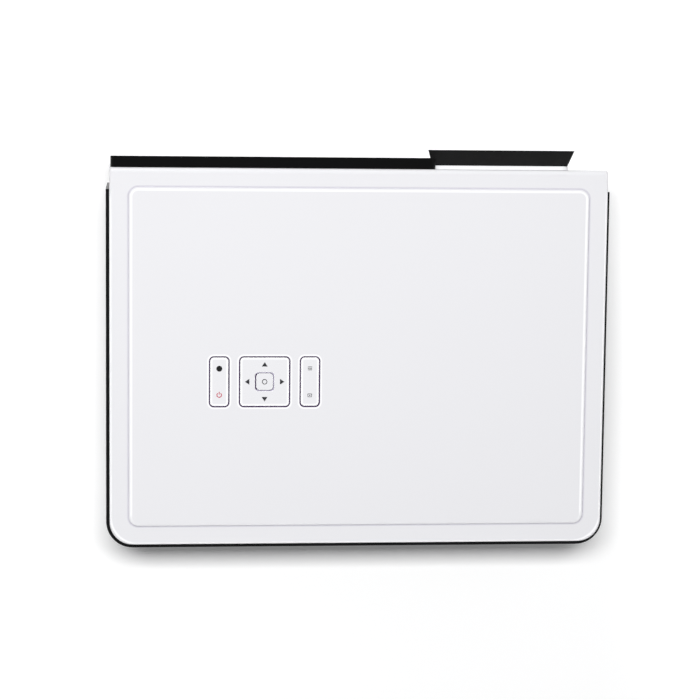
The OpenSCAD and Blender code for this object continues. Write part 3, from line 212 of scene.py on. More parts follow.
# Moulded skin: a slow drift of tone from the melt's flow, and the grain of the eroded steel mould
moulded_skin, takes, gives = socket_group(
    "moulded_skin",
    "ShaderNodeTree",
    [("Colour", "Color", (0.8, 0.8, 0.8, 1)), ("Drift", "Float", 0.04), ("Roughness", "Float", 0.4),
     ("Grain Size", "Float", 0.6), ("Grain Depth", "Float", 0.1)],
    [("Colour", "Color"), ("Roughness", "Float"), ("Normal", "Vector")],
)
spot = object_spot(moulded_skin)
flow = noise(moulded_skin, spot, 14.0, 3.0)
shade = ranged(moulded_skin, flow, 0.3, 0.7)
dark = toned(moulded_skin, takes["Colour"], 0.8)
depth = value_of(moulded_skin, "MULTIPLY", shade, takes["Drift"])
per_metre = value_of(moulded_skin, "DIVIDE", 1000.0, takes["Grain Size"])
grain = noise(moulded_skin, spot, per_metre, 2.0)
feed(moulded_skin, gives, {
    "Colour": mixed(moulded_skin, depth, takes["Colour"], dark),
    "Roughness": value_of(moulded_skin, "MULTIPLY_ADD", grain, 0.12, takes["Roughness"]),
    "Normal": bump(moulded_skin, grain, takes["Grain Depth"], 0.2 * mm),
})

# Handling: pale rubbed edges, and dust that lies on what faces up
handled, takes, gives = socket_group(
    "handled",
    "ShaderNodeTree",
    [("Colour", "Color", (0.5, 0.5, 0.5, 1)), ("Roughness", "Float", 0.4), ("Rubbed", "Float", 0.2),
     ("Rubbed Colour", "Color", (0.9, 0.9, 0.9, 1)), ("Dust", "Float", 0.1)],
    [("Colour", "Color"), ("Roughness", "Float")],
)
facing = put(handled, "ShaderNodeNewGeometry").outputs["Normal"]
soft = put(handled, "ShaderNodeBevel", {"Radius": 0.7 * mm}, samples=4).outputs[0]
turn = put(handled, "ShaderNodeVectorMath", {0: facing, 1: soft}, operation="DOT_PRODUCT").outputs["Value"]
edge = ranged(handled, turn, 0.97, 0.8)
spot = object_spot(handled)
patch = ranged(handled, noise(handled, spot, 60.0, 5.0), 0.42, 0.62)
edge = value_of(handled, "MULTIPLY", edge, patch)
edge = value_of(handled, "MULTIPLY", edge, takes["Rubbed"], clamp=True)
speck = ranged(handled, noise(handled, spot, 1400.0, 4.0), 0.5, 0.75)
dust = value_of(handled, "MULTIPLY", part_of(handled, facing, "Z"), speck, clamp=True)
dust = value_of(handled, "MULTIPLY", dust, takes["Dust"], clamp=True)
worn = mixed(handled, edge, takes["Colour"], takes["Rubbed Colour"])
feed(handled, gives, {
    "Colour": mixed(handled, dust, worn, (0.55, 0.54, 0.52, 1)),
    "Roughness": value_of(handled, "MULTIPLY_ADD", dust, 0.5, takes["Roughness"]),
})


def plastic(name, colour, roughness, grain_size=0.5, grain_depth=0.1, drift=0.05, rubbed=0.1, dust=0.02,
            coat=0.0, shine=0.5):
    """A moulded plastic: its grain in mm, its drift of tone, its rubbed edges and its dust."""
    material, tree, shader = surface(name)
    mould = {"Colour": (*colour, 1), "Drift": drift, "Roughness": roughness, "Grain Size": grain_size,
             "Grain Depth": grain_depth}
    skin = put(tree, "ShaderNodeGroup", mould, node_tree=moulded_skin).outputs
    pale = [min(0.97, 0.25 + 0.75 * c) for c in colour]
    use = {"Colour": skin["Colour"], "Roughness": skin["Roughness"], "Rubbed": rubbed,
           "Rubbed Colour": (*pale, 1), "Dust": dust}
    worn = put(tree, "ShaderNodeGroup", use, node_tree=handled).outputs
    feed(tree, shader, {
        "Base Color": worn["Colour"],
        "Roughness": worn["Roughness"],
        "Normal": skin["Normal"],
        "Specular IOR Level": shine,
        "Coat Weight": coat,
        "Coat Roughness": 0.06,
    })
    return material


def eased(name, edge, segments=2):
    """A merged copy of a CAD piece, with the sharp edges of the mould rounded off by the edge radius."""
    shape = bmesh.new()
    shape.from_mesh(nodes[name].data)
    bmesh.ops.remove_doubles(shape, verts=shape.verts, dist=0.002 * mm)
    bmesh.ops.dissolve_limit(shape, angle_limit=math.radians(0.4), verts=shape.verts, edges=shape.edges)
    for face in shape.faces:
        face.smooth = True
    mesh = bpy.data.meshes.new(name + "_skin")
    shape.to_mesh(mesh)
    shape.free()
    mesh.set_sharp_from_angle(angle=math.radians(42))
    piece = added(name + "_skin", mesh)
    round_off = piece.modifiers.new("eased_edges", "BEVEL")
    round_off.width = edge
    round_off.segments = segments
    round_off.limit_method = "ANGLE"
    round_off.angle_limit = math.radians(42)
    even = piece.modifiers.new("even_shading", "WEIGHTED_NORMAL")
    even.weight = 100
    even.keep_sharp = True
    return piece


def dressed(name, body, material, edge, segments=2):
    """The eased skin of a CAD piece in its material, which rides the body in the piece's place."""
    piece = eased(name, edge, segments)
    piece.data.materials.append(material)
    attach(piece, body)
    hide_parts(name)
    return piece


case_white = plastic("case_white", (0.81, 0.81, 0.82), 0.42, grain_size=0.45, grain_depth=0.12)
dressed("bottom_case", "case", case_white, 0.4 * mm)


# ---- Feet and height adjuster ----
# Four black rubber feet are pressed into the underside. At the front middle a zinc-plated stud with a
# knurled wheel screws in and out of its boss, on a rubber pad of its own.
def rubber(name, colour, grain_depth):
    """Soft matt rubber: coarse low grain, no shine and a little dust."""
    return plastic(name, colour, 0.78, grain_depth=grain_depth, drift=0.1, dust=0.08, shine=0.35)


foot_rubber = rubber("foot_rubber", (0.014, 0.014, 0.015), 0.5)
dressed("rubber_feet", "case", foot_rubber, 0.5 * mm, 3)

dressed("adjuster_pad", "adjuster_pad", foot_rubber, 0.3 * mm)


def vector_of(tree, operation, *terms):
    """Adds a Vector Math node over one or two terms and returns its vector."""
    return put(tree, "ShaderNodeVectorMath", dict(enumerate(terms)), operation=operation).outputs[0]


# Drawn metal: fine parallel lines left by the rolls or the lathe, and a cloudy plating
drawn_metal, takes, gives = socket_group(
    "drawn_metal",
    "ShaderNodeTree",
    [("Colour", "Color", (0.6, 0.6, 0.6, 1)), ("Roughness", "Float", 0.3),
     ("Lines", "Vector", (1.0, 1.0, 0.05)), ("Depth", "Float", 0.1)],
    [("Colour", "Color"), ("Roughness", "Float"), ("Normal", "Vector")],
)
spot = object_spot(drawn_metal)
laid = vector_of(drawn_metal, "MULTIPLY", spot, takes["Lines"])
lines = noise(drawn_metal, laid, 2600.0, 3.0)
cloud = noise(drawn_metal, spot, 45.0, 4.0)
dull = toned(drawn_metal, takes["Colour"], 0.78)
streak = value_of(drawn_metal, "MULTIPLY", lines, cloud)
feed(drawn_metal, gives, {
    "Colour": mixed(drawn_metal, streak, takes["Colour"], dull),
    "Roughness": value_of(drawn_metal, "MULTIPLY_ADD", streak, 0.35, takes["Roughness"]),
    "Normal": bump(drawn_metal, lines, takes["Depth"], 0.1 * mm),
})


def metal(name, colour, roughness, lines=(1.0, 1.0, 0.05), depth=0.1):
    """A bare or plated metal with its rolled or turned lines."""
    material, tree, shader = surface(name)
    drawn = {"Colour": (*colour, 1), "Roughness": roughness, "Lines": lines, "Depth": depth}
    skin = put(tree, "ShaderNodeGroup", drawn, node_tree=drawn_metal).outputs
    feed(tree, shader, {
        "Base Color": skin["Colour"],
        "Roughness": skin["Roughness"],
        "Normal": skin["Normal"],
        "Metallic": 1.0,
    })
    return material


zinc = metal("zinc_plate", (0.66, 0.67, 0.68), 0.24, lines=(0.1, 0.1, 1.0))
dressed("adjuster_screw", "adjuster_screw", zinc, 0.2 * mm)


# ---- Case screws ----
# Four cross-head screws of zinc-plated steel come up through the underside and draw the cover down.
# Their heads lie deep in their counterbores.
def repeated(tree, points, shape, **sizes):
    """Returns a shape set once on each point."""
    feeds = {"Points": points, "Instance": shape, **sizes}
    return put(tree, "GeometryNodeInstanceOnPoints", feeds).outputs[0]


def finish_tree(tree, gives, shape, material):
    """Ends a geometry tree with its instances made real and its material set."""
    solid = put(tree, "GeometryNodeRealizeInstances", {"Geometry": shape}).outputs[0]
    finished = put(tree, "GeometryNodeSetMaterial", {"Geometry": solid, "Material": material}).outputs[0]
    feed(tree, gives, {"Geometry": finished})


def grown(name, tree, points, **sizes):
    """Runs a geometry tree on some points with its named sizes, and keeps the result as a plain mesh."""
    seed = bpy.data.meshes.new(name + "_points")
    seed.from_pydata(points, [], [])
    holder = added(name + "_plan", seed)
    plan = holder.modifiers.new("plan", "NODES")
    plan.node_group = tree
    for item in tree.interface.items_tree:
        if item.in_out == "INPUT" and item.name in sizes:
            plan[item.identifier] = sizes[item.name]
    ready = holder.evaluated_get(bpy.context.evaluated_depsgraph_get())
    mesh = bpy.data.meshes.new_from_object(ready)
    holder.modifiers.clear()
    bpy.data.objects.remove(holder)
    mesh.set_sharp_from_angle(angle=math.radians(35))
    return added(name, mesh)


def rod(tree, width, length, sides):
    """Returns a round bar of a width and a length, upright about its middle."""
    feeds = {"Vertices": sides, "Radius": value_of(tree, "MULTIPLY", width, 0.5), "Depth": length}
    return put(tree, "GeometryNodeMeshCylinder", feeds).outputs["Mesh"]


def raised(tree, shape, height):
    """Returns a shape moved up by a height."""
    place = put(tree, "ShaderNodeCombineXYZ", {"Z": height}).outputs[0]
    return put(tree, "GeometryNodeTransform", {"Geometry": shape, "Translation": place}).outputs[0]


screw_tree, takes, gives = socket_group(
    "cross_head_screws",
    "GeometryNodeTree",
    [("Geometry", "Geometry", None), ("Head", "Float", 0.0), ("Height", "Float", 0.0),
     ("Shank", "Float", 0.0), ("Length", "Float", 0.0), ("Recess", "Float", 0.0),
     ("Material", "Material", None)],
    [("Geometry", "Geometry")],
)
tall, long_shank, slot_w = takes["Height"], takes["Length"], takes["Recess"]
head = rod(screw_tree, takes["Head"], tall, 40)
arm = value_of(screw_tree, "MULTIPLY", slot_w, 4.0)
cuts = []
for long_way in ("X", "Y"):
    sides = {"X": slot_w, "Y": slot_w, "Z": tall, long_way: arm}
    size = put(screw_tree, "ShaderNodeCombineXYZ", sides).outputs[0]
    cuts.append(put(screw_tree, "GeometryNodeMeshCube", {"Size": size}).outputs["Mesh"])
cross = put(screw_tree, "GeometryNodeMeshBoolean", {"Mesh 2": cuts}, operation="UNION").outputs["Mesh"]
cross = raised(screw_tree, cross, value_of(screw_tree, "MULTIPLY", tall, -0.6))
head = put(screw_tree, "GeometryNodeMeshBoolean", {"Mesh 1": head, "Mesh 2": cross}, operation="DIFFERENCE")
half_way = value_of(screw_tree, "MULTIPLY", value_of(screw_tree, "ADD", tall, long_shank), 0.5)
shank = raised(screw_tree, rod(screw_tree, takes["Shank"], long_shank, 24), half_way)
screw = put(screw_tree, "GeometryNodeJoinGeometry", {"Geometry": [head.outputs["Mesh"], shank]}).outputs[0]
screws = repeated(screw_tree, takes["Geometry"], screw)
finish_tree(screw_tree, gives, screws, takes["Material"])

low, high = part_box("case_screws")
head_w, head_h = 6 * mm, 2 * mm
seats = [(x, y, low.z + head_h / 2) for x in (low.x + head_w / 2, high.x - head_w / 2)
         for y in (low.y + head_w / 2, high.y - head_w / 2)]
screws = grown("case_screw_set", screw_tree, seats, Head=head_w, Height=head_h, Shank=3 * mm,
               Length=high.z - low.z - head_h, Recess=0.9 * mm, Material=zinc)
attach(screws, "case")
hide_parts("case_screws")


# ---- Circuit boards ----
# Two boards of glass fibre with a green solder mask stand on studs in the tub: the mains and lamp supply
# in front, the picture and disc electronics behind. Copper tracks show through the mask as paler green.
circuit_board, takes, gives = socket_group(
    "circuit_board",
    "ShaderNodeTree",
    [("Mask", "Color", (0.01, 0.12, 0.05, 1)), ("Track Pitch", "Float", 1.3), ("Cell", "Float", 9.0)],
    [("Colour", "Color"), ("Roughness", "Float"), ("Normal", "Vector")],
)
spot = object_spot(circuit_board)
flat = vector_of(circuit_board, "MULTIPLY", spot, (1.0, 1.0, 0.0))
per_cell = value_of(circuit_board, "DIVIDE", 1000.0, takes["Cell"])
cell = put(circuit_board, "ShaderNodeTexVoronoi", {"Vector": flat, "Scale": per_cell}, distance="CHEBYCHEV")
toss = put(circuit_board, "ShaderNodeSeparateColor", {0: cell.outputs["Color"]}).outputs
turned = value_of(circuit_board, "GREATER_THAN", toss[0], 0.5)
flat_x, flat_y = (part_of(circuit_board, flat, axis) for axis in "XY")
along = put(circuit_board, "ShaderNodeMix", {0: turned, 2: flat_x, 3: flat_y}).outputs[0]
wave_per_mm = 6283.0
per_track = value_of(circuit_board, "DIVIDE", wave_per_mm, takes["Track Pitch"])
wave = value_of(circuit_board, "MULTIPLY", along, per_track)
wave = value_of(circuit_board, "SINE", wave)
track = ranged(circuit_board, wave, 0.1, 0.35)
laid = value_of(circuit_board, "GREATER_THAN", toss[1], 0.35)
track = value_of(circuit_board, "MULTIPLY", track, laid)
pads = put(circuit_board, "ShaderNodeTexVoronoi", {"Vector": flat, "Scale": 260.0, "Randomness": 0.6})
pad_spot = value_of(circuit_board, "LESS_THAN", pads.outputs["Distance"], 0.14)
over_copper = toned(circuit_board, takes["Mask"], 1.9, 0.9)
colour = mixed(circuit_board, track, takes["Mask"], over_copper)
height = value_of(circuit_board, "ADD", track, pad_spot)
feed(circuit_board, gives, {
    "Colour": mixed(circuit_board, pad_spot, colour, (0.62, 0.6, 0.55, 1)),
    "Roughness": ranged(circuit_board, height, 0.0, 1.0, 0.28, 0.4),
    "Normal": bump(circuit_board, height, 0.5, 0.05 * mm),
})


def board(name, mask):
    """Solder mask over copper tracks, with small tinned pads."""
    material, tree, shader = surface(name)
    skin = put(tree, "ShaderNodeGroup", {"Mask": (*mask, 1)}, node_tree=circuit_board).outputs
    feed(tree, shader, {
        "Base Color": skin["Colour"],
        "Roughness": skin["Roughness"],
        "Normal": skin["Normal"],
    })
    return material


def paint(piece, material, low, high, upward=None):
    """Gives a material to the faces whose middle lies in a box in mm, or only to those that face up."""
    piece.data.materials.append(material)
    last = len(piece.data.materials) - 1
    for face in piece.data.polygons:
        middle = face.center / mm
        inside = all(low[i] <= middle[i] <= high[i] for i in range(3))
        if inside and (upward is None or (face.normal.z > 0.5) == upward):
            face.material_index = last


def paint_part(piece, material, corner, near, far, low, upward=None):
    """Paints what stands above a height between two places, both counted from the board's corner."""
    x, y = corner
    tallest = 50
    paint(piece, material, (x + near[0], y + near[1], low), (x + far[0], y + far[1], tallest), upward)


mask_green = board("mask_green", (0.008, 0.11, 0.045))
chip_black = plastic("chip_black", (0.02, 0.02, 0.022), 0.5, grain_size=0.2, rubbed=0.0)
plug_ivory = plastic("plug_ivory", (0.7, 0.67, 0.55), 0.45, rubbed=0.0)
tape_yellow = plastic("tape_yellow", (0.75, 0.5, 0.05), 0.35, grain_size=2.0, rubbed=0.0)
ferrite = plastic("ferrite", (0.045, 0.045, 0.05), 0.65, grain_size=0.3, grain_depth=0.3, rubbed=0.0)
can_sleeve = plastic("can_sleeve", (0.02, 0.022, 0.05), 0.3, grain_size=2.0, rubbed=0.0)
aluminium = metal("aluminium", (0.78, 0.79, 0.8), 0.3, lines=(1.0, 1.0, 0.04), depth=0.15)
board_top = 18.8
# Supply: transformer with its winding tape, two cooling plates, cans, choke and film capacitor
supply = dressed("power_board", "case", mask_green, 0.15 * mm)
corner, far = (14.0, -97.4), (112, 100)
can_top, core_top = 31.0, 40
paint_part(supply, can_sleeve, corner, (0, 0), far, board_top)
paint_part(supply, aluminium, corner, (0, 20), far, can_top, upward=True)
paint_part(supply, tape_yellow, corner, (15.9, 29.9), (48.1, 64.1), board_top)
paint_part(supply, ferrite, corner, (15.9, 29.9), (48.1, 64.1), core_top)
paint_part(supply, aluminium, corner, (59.9, 21.9), (63.1, 72.1), board_top)
paint_part(supply, aluminium, corner, (57.9, 77.9), (98.1, 81.1), board_top)
paint_part(supply, ferrite, corner, (17.9, 7.9), (32.1, 20.1), board_top)
paint_part(supply, tape_yellow, corner, (39.9, 7.9), (64.1, 16.1), board_top)
# Main board: chip under a finned cooler, memory chips, small cans, three plug rows and the keypad's plug
logic = dressed("main_board", "case", mask_green, 0.12 * mm)
corner, far = (14.0, 26.6), (112, 96)
chip_top, can_top = 21.7, 23.0
paint_part(logic, chip_black, corner, (0, 0), (82, 96), board_top)
paint_part(logic, can_sleeve, corner, (83, 0), far, board_top)
paint_part(logic, aluminium, corner, (83, 0), far, can_top, upward=True)
paint_part(logic, aluminium, corner, (40.5, 26.5), (73.5, 59.5), chip_top)
paint_part(logic, plug_ivory, corner, (0, 3.9), (112, 10.1), board_top)
paint_part(logic, plug_ivory, corner, (0, -7.7), (8, 6.6), board_top)


# ---- Sockets and switch at the rear ----
# Nickel-plated shells for picture and memory plugs, two round sound sockets, and a black mains inlet
# with a rocker switch beside it. The pins and tongues are pressed into their plastic before assembly.
nickel = metal("nickel_shell", (0.72, 0.71, 0.68), 0.18, lines=(1.0, 0.08, 1.0), depth=0.06)
socket_black = plastic("socket_black", (0.018, 0.018, 0.02), 0.4, grain_size=0.4, grain_depth=0.12)
shells = dressed("signal_sockets", "case", nickel, 0.1 * mm)
# Middle, underside and width of each shell: what lies inside its sheet metal is black
shell_t, shell_h, front, rear = 0.2, 6.3, 114.8, 129.0
for x, low, wide in ((112.0, 20.1, 15.0), (86.0, 20.1, 14.0), (86.0, 29.1, 14.0)):
    side = wide / 2 - shell_t
    paint(shells, socket_black, (x - side, front, low + shell_t), (x + side, rear, low + shell_h))
dressed("sound_jacks", "case", socket_black, 0.12 * mm)
inlet = dressed("power_inlet", "case", socket_black, 0.2 * mm)
pin_w = 2.2
for x in (-26.0, -20.0, -14.0):
    paint(inlet, nickel, (x - pin_w / 2, 111.7, 32.0), (x + pin_w / 2, 126.0, 46.0))
dressed("power_switch", "mains_switch", socket_black, 0.3 * mm)


# ---- Light tunnel and picture panel ----
# The tunnel is moulded in matt black plastic so that no stray light escapes. Two ringed plates of clear
# acrylic stand before and behind the picture panel, whose glass carries a black border.
optics_black = plastic("optics_black", (0.016, 0.016, 0.017), 0.75, grain_size=0.35, grain_depth=0.3,
                       shine=0.3)
dressed("lens_sleeve", "case", optics_black, 0.3 * mm)
dressed("light_tunnel", "case", optics_black, 0.3 * mm)
dressed("tunnel_lid", "case", optics_black, 0.2 * mm)
axis_x, axis_z = -93.0, 59.0


def clear(name, colour, roughness, bend, coat=0.0, coat_tint=(1, 1, 1)):
    """Clear glass or acrylic with faint smears, and a coating of its own tint."""
    material, tree, shader = surface(name)
    smear = noise(tree, object_spot(tree), 90.0, 5.0)
    feed(tree, shader, {
        "Base Color": (*colour, 1),
        "Roughness": ranged(tree, smear, 0.45, 0.8, roughness, roughness + 0.08),
        "IOR": bend,
        "Transmission Weight": 1.0,
        "Coat Weight": coat,
        "Coat Tint": (*coat_tint, 1),
        "Coat Roughness": 0.02,
    })
    return material


def length_of(tree, vector):
    """Returns how long a vector is."""
    return put(tree, "ShaderNodeVectorMath", {0: vector}, operation="LENGTH").outputs["Value"]


def off_axis(tree):
    """How far the place that is being shaded lies from the lens axis, in metres."""
    away = vector_of(tree, "SUBTRACT", object_spot(tree), (axis_x * mm, 0, axis_z * mm))
    return length_of(tree, vector_of(tree, "MULTIPLY", away, (1.0, 0.0, 1.0)))


# Fine rings pressed into the acrylic bend the light as a thick lens would
ringed = clear("ringed_acrylic", (0.97, 0.98, 0.98), 0.02, 1.49)
tree, shader = shader_of(ringed)
saw = value_of(tree, "MODULO", off_axis(tree), 0.6 * mm)
feed(tree, shader, {"Normal": bump(tree, saw, 0.8, 0.6)})
dressed("fresnel_plates", "case", ringed, 0.15 * mm)

# The picture panel: dark polariser over a fine pixel grid, inside a black border
picture_film, tree, shader = surface("picture_film")
spot = object_spot(tree)
strips = []
for axis, middle, half in (("X", axis_x, 45.0), ("Z", axis_z, 28.0)):
    away = value_of(tree, "SUBTRACT", part_of(tree, spot, axis), middle * mm)
    away = value_of(tree, "ABSOLUTE", away)
    strips.append(value_of(tree, "LESS_THAN", away, half * mm))
field = value_of(tree, "MULTIPLY", *strips)
pixels_per_metre = 12000.0
grid = vector_of(tree, "MULTIPLY", spot, (pixels_per_metre,) * 3)
dots = put(tree, "ShaderNodeTexChecker", {"Vector": grid, "Scale": 1.0}).outputs["Fac"]
film = mixed(tree, dots, (0.035, 0.035, 0.05, 1), (0.05, 0.045, 0.06, 1))
feed(tree, shader, {
    "Base Color": mixed(tree, field, (0.008, 0.008, 0.008, 1), film),
    "Roughness": ranged(tree, field, 0.0, 1.0, 0.5, 0.12),
})
dressed("picture_panel", "case", picture_film, 0.12 * mm)

condenser_glass = clear("condenser_glass", (0.96, 0.985, 0.975), 0.01, 1.52)
dressed("condenser_lens", "case", condenser_glass, 0.05 * mm)


# ---- Lamp, heat sink and fan ----
# The white lamp module sits on a copper core and is screwed to an extruded aluminium heat sink.
# The fan behind it, with seven swept blades, draws the air over the fins and out of the rear.
lamp_core, tree, shader = surface("lamp_core")
phosphor = value_of(tree, "LESS_THAN", off_axis(tree), 12.5 * mm)
beads = {"Vector": object_spot(tree), "Scale": 550.0, "Randomness": 0.15}
cells = put(tree, "ShaderNodeTexVoronoi", beads).outputs["Distance"]
gel = mixed(tree, ranged(tree, cells, 0.0, 0.6), (0.85, 0.62, 0.06, 1), (0.72, 0.46, 0.03, 1))
feed(tree, shader, {
    "Base Color": mixed(tree, phosphor, (0.78, 0.77, 0.74, 1), gel),
    "Roughness": ranged(tree, phosphor, 0.0, 1.0, 0.45, 0.2),
    "Normal": bump(tree, cells, 0.3, 0.1 * mm),
})
module = dressed("led_module", "case", lamp_core, 0.15 * mm)
copper = metal("copper_core", (0.72, 0.36, 0.22), 0.3, lines=(1.0, 0.1, 1.0))
# the plate behind the lamp
paint(module, copper, (-114, 67.2, 38), (-72, 72, 80))


def add_slab(shape, outline, low, high, hole=None, place=Matrix()):
    """Adds a closed slab of an outline between two heights, or of a ring if a hole is given."""
    walls = []
    for ring in [outline] + ([hole] if hole else []):
        walls.append([[shape.verts.new(place @ Vector((x, y, z))) for x, y in ring] for z in (low, high)])
    count = len(outline)
    for order, (bottom, top) in zip((1, -1), walls):
        for i in range(count):
            j = (i + 1) % count
            shape.faces.new((bottom[i], bottom[j], top[j], top[i])[::order])
    if not hole:
        shape.faces.new(walls[0][0][::-1])
        shape.faces.new(walls[0][1])
        return
    for level, order in ((0, -1), (1, 1)):
        outer, inner = walls[0][level], walls[1][level]
        for i in range(count):
            j = (i + 1) % count
            shape.faces.new((outer[i], outer[j], inner[j], inner[i])[::order])


def built(name, shape, material):
    """Turns a bmesh into an object of one material."""
    mesh = bpy.data.meshes.new(name)
    shape.to_mesh(mesh)
    shape.free()
    mesh.materials.append(material)
    return added(name, mesh)


# Bars in a row: one bar repeated at even steps about each point
bar_row, takes, gives = socket_group(
    "bars_in_a_row",
    "GeometryNodeTree",
    [("Geometry", "Geometry", None), ("Bar", "Vector", None), ("Step", "Vector", None),
     ("Count", "Int", 10), ("Material", "Material", None)],
    [("Geometry", "Geometry")],
)
one_bar = put(bar_row, "GeometryNodeMeshCube", {"Size": takes["Bar"]}).outputs["Mesh"]
back = value_of(bar_row, "MULTIPLY_ADD", takes["Count"], -0.5, 0.5)
to_first = {0: takes["Step"], "Scale": back}
first = put(bar_row, "ShaderNodeVectorMath", to_first, operation="SCALE").outputs[0]
steps = {"Count": takes["Count"], "Start Location": first, "Offset": takes["Step"]}
row = put(bar_row, "GeometryNodeMeshLine", steps).outputs["Mesh"]
row = repeated(bar_row, row, one_bar)
rows = repeated(bar_row, takes["Geometry"], row)
finish_tree(bar_row, gives, rows, takes["Material"])

low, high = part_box("heat_sink")
middle = (low + high) / 2
base_t, fin_t, fin_count = 5 * mm, 1.2 * mm, 14
size = high - low
fins = grown("heat_sink_fins", bar_row, [(middle.x, (low.y + base_t + high.y) / 2, middle.z)],
             Bar=(fin_t, size.y - base_t, size.z), Step=((size.x - fin_t) / (fin_count - 1), 0.0, 0.0),
             Count=fin_count, Material=aluminium)
shape = bmesh.new()
square = [(low.x, low.z), (high.x, low.z), (high.x, high.z), (low.x, high.z)]
upended = Matrix.Rotation(math.radians(90), 4, "X")
add_slab(shape, square, -low.y - base_t, -low.y, place=upended)
sink_base = built("heat_sink_base", shape, aluminium)
for piece in (fins, sink_base):
    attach(piece, "case")
    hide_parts("heat_sink")

fan_black = plastic("fan_black", (0.02, 0.02, 0.021), 0.42, grain_size=0.5, grain_depth=0.08, drift=0.1)
dressed("fan_frame", "case", fan_black, 0.25 * mm)
dressed("fan_rotor", "fan", fan_black, 0.2 * mm)


# ---- Lens ----
# Three coated glass elements lie in a black barrel, which slides in the sleeve as the ribbed ring at
# its mouth is turned. The ribs keep the fingers from slipping.
coated_glass = clear("coated_glass", (0.95, 0.96, 0.985), 0.008, 1.6, coat=1.0,
                     coat_tint=(0.84, 0.77, 0.96))
dressed("lens_elements", "lens", coated_glass, 0.05 * mm)
dressed("lens_barrel", "lens", optics_black, 0.25 * mm)
ring_black = plastic("ring_black", (0.017, 0.017, 0.018), 0.6, grain_size=0.3, grain_depth=0.25, shine=0.35)
dressed("focus_ring", "focus_ring", ring_black, 0.2 * mm)


# ---- Disc loader ----
# A pan of zinc-plated sheet steel holds the tray, its drive and the disc mechanism. The tray runs on
# ledges in the pan and is driven through the rack on its underside.
sheet_steel = metal("sheet_steel", (0.6, 0.61, 0.62), 0.32, lines=(0.04, 1.0, 1.0), depth=0.12)
dressed("loader_chassis", "case", sheet_steel, 0.25 * mm)
tray_grey = plastic("tray_grey", (0.035, 0.035, 0.038), 0.5, grain_size=0.35, grain_depth=0.2, rubbed=0.12)
dressed("disc_tray", "tray", tray_grey, 0.2 * mm)

# Natural acetal: ivory, slightly waxy, greased where the teeth meet
acetal = plastic("acetal", (0.72, 0.68, 0.56), 0.3, grain_size=1.5, grain_depth=0.03, rubbed=0.0, dust=0.05)
soft_light = {"Subsurface Weight": 0.1, "Subsurface Radius": (2 * mm, 1.5 * mm, 1 * mm)}
feed(*shader_of(acetal), soft_light)
dressed("loading_gear", "loading_gear", acetal, 0.1 * mm)
dressed("motor_pulley", "motor_pulley", acetal, 0.15 * mm)
belt_rubber = rubber("belt_rubber", (0.013, 0.013, 0.013), 0.15)
dressed("loading_belt", "case", belt_rubber, 0.15 * mm)
motor_can = metal("motor_can", (0.62, 0.62, 0.61), 0.22, lines=(1.0, 1.0, 0.05), depth=0.08)
loader_motor = dressed("loading_motor", "case", motor_can, 0.35 * mm)
# its plastic end plate
paint(loader_motor, plug_ivory, (41, -98, 51.9), (59, -81, 52.1))

# Traverse: pressed steel frame with the spindle motor, its platter, and the reading head on two rods
frame_steel = metal("frame_steel", (0.3, 0.31, 0.33), 0.38, lines=(1.0, 0.05, 1.0), depth=0.12)
dressed("traverse_frame", "traverse", frame_steel, 0.2 * mm)
dressed("spindle_motor", "traverse", motor_can, 0.35 * mm)
platter = dressed("turntable", "turntable", chip_black, 0.15 * mm)
# the soft ring that the disc sits on
low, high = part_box("turntable")
middle = (low + high) / 2
ring_bore = 9.5
ring_edge = middle.x / mm - ring_bore
paint(platter, foot_rubber, (low.x / mm, low.y / mm, 70.0), (ring_edge, high.y / mm, 80.0), upward=True)
dressed("guide_rods", "traverse", motor_can, 0.1 * mm)
brass = metal("brass", (0.72, 0.52, 0.22), 0.25, lines=(1.0, 0.06, 1.0), depth=0.1)
dressed("sled_screw", "sled_screw", brass, 0.04 * mm, 1)
dressed("sled_motor", "traverse", motor_can, 0.3 * mm)
dressed("pickup_sled", "pickup", chip_black, 0.2 * mm)

# Bridge over the disc, with the weighted puck that holds the disc down from above
dressed("clamp_bridge", "case", sheet_steel, 0.25 * mm)
dressed("clamp_puck", "puck", acetal, 0.3 * mm)


# ---- Speakers, band and grilles ----
# The black band is a moulded hoop slipped over the tub from the rear. It holds a louvred grille over each
# of the two speakers and, at the rear, the round guard of the fan.
basket_black = plastic("basket_black", (0.02, 0.02, 0.02), 0.5, rubbed=0.0)
cone_paper = plastic("cone_paper", (0.03, 0.029, 0.028), 0.85, grain_size=0.25, grain_depth=0.5, drift=0.2,
                     rubbed=0.0, shine=0.2)
speakers = dressed("speakers", "case", basket_black, 0.25 * mm)
cone_back, cone_front, cone_y, cone_z = 151.0, 158.4, (-14.0, 40.0), (50.0, 82.0)
for side in (-1, 1):
    near, far = sorted((side * cone_back, side * cone_front))
    paint(speakers, cone_paper, (near, cone_y[0], cone_z[0]), (far, cone_y[1], cone_z[1]))

band_black = plastic("band_black", (0.006, 0.006, 0.0065), 0.34, grain_depth=0.06, drift=0.1, rubbed=0.06,
                     dust=0.0, shine=0.3)
dressed("side_band", "case", band_black, 0.35 * mm, 3)

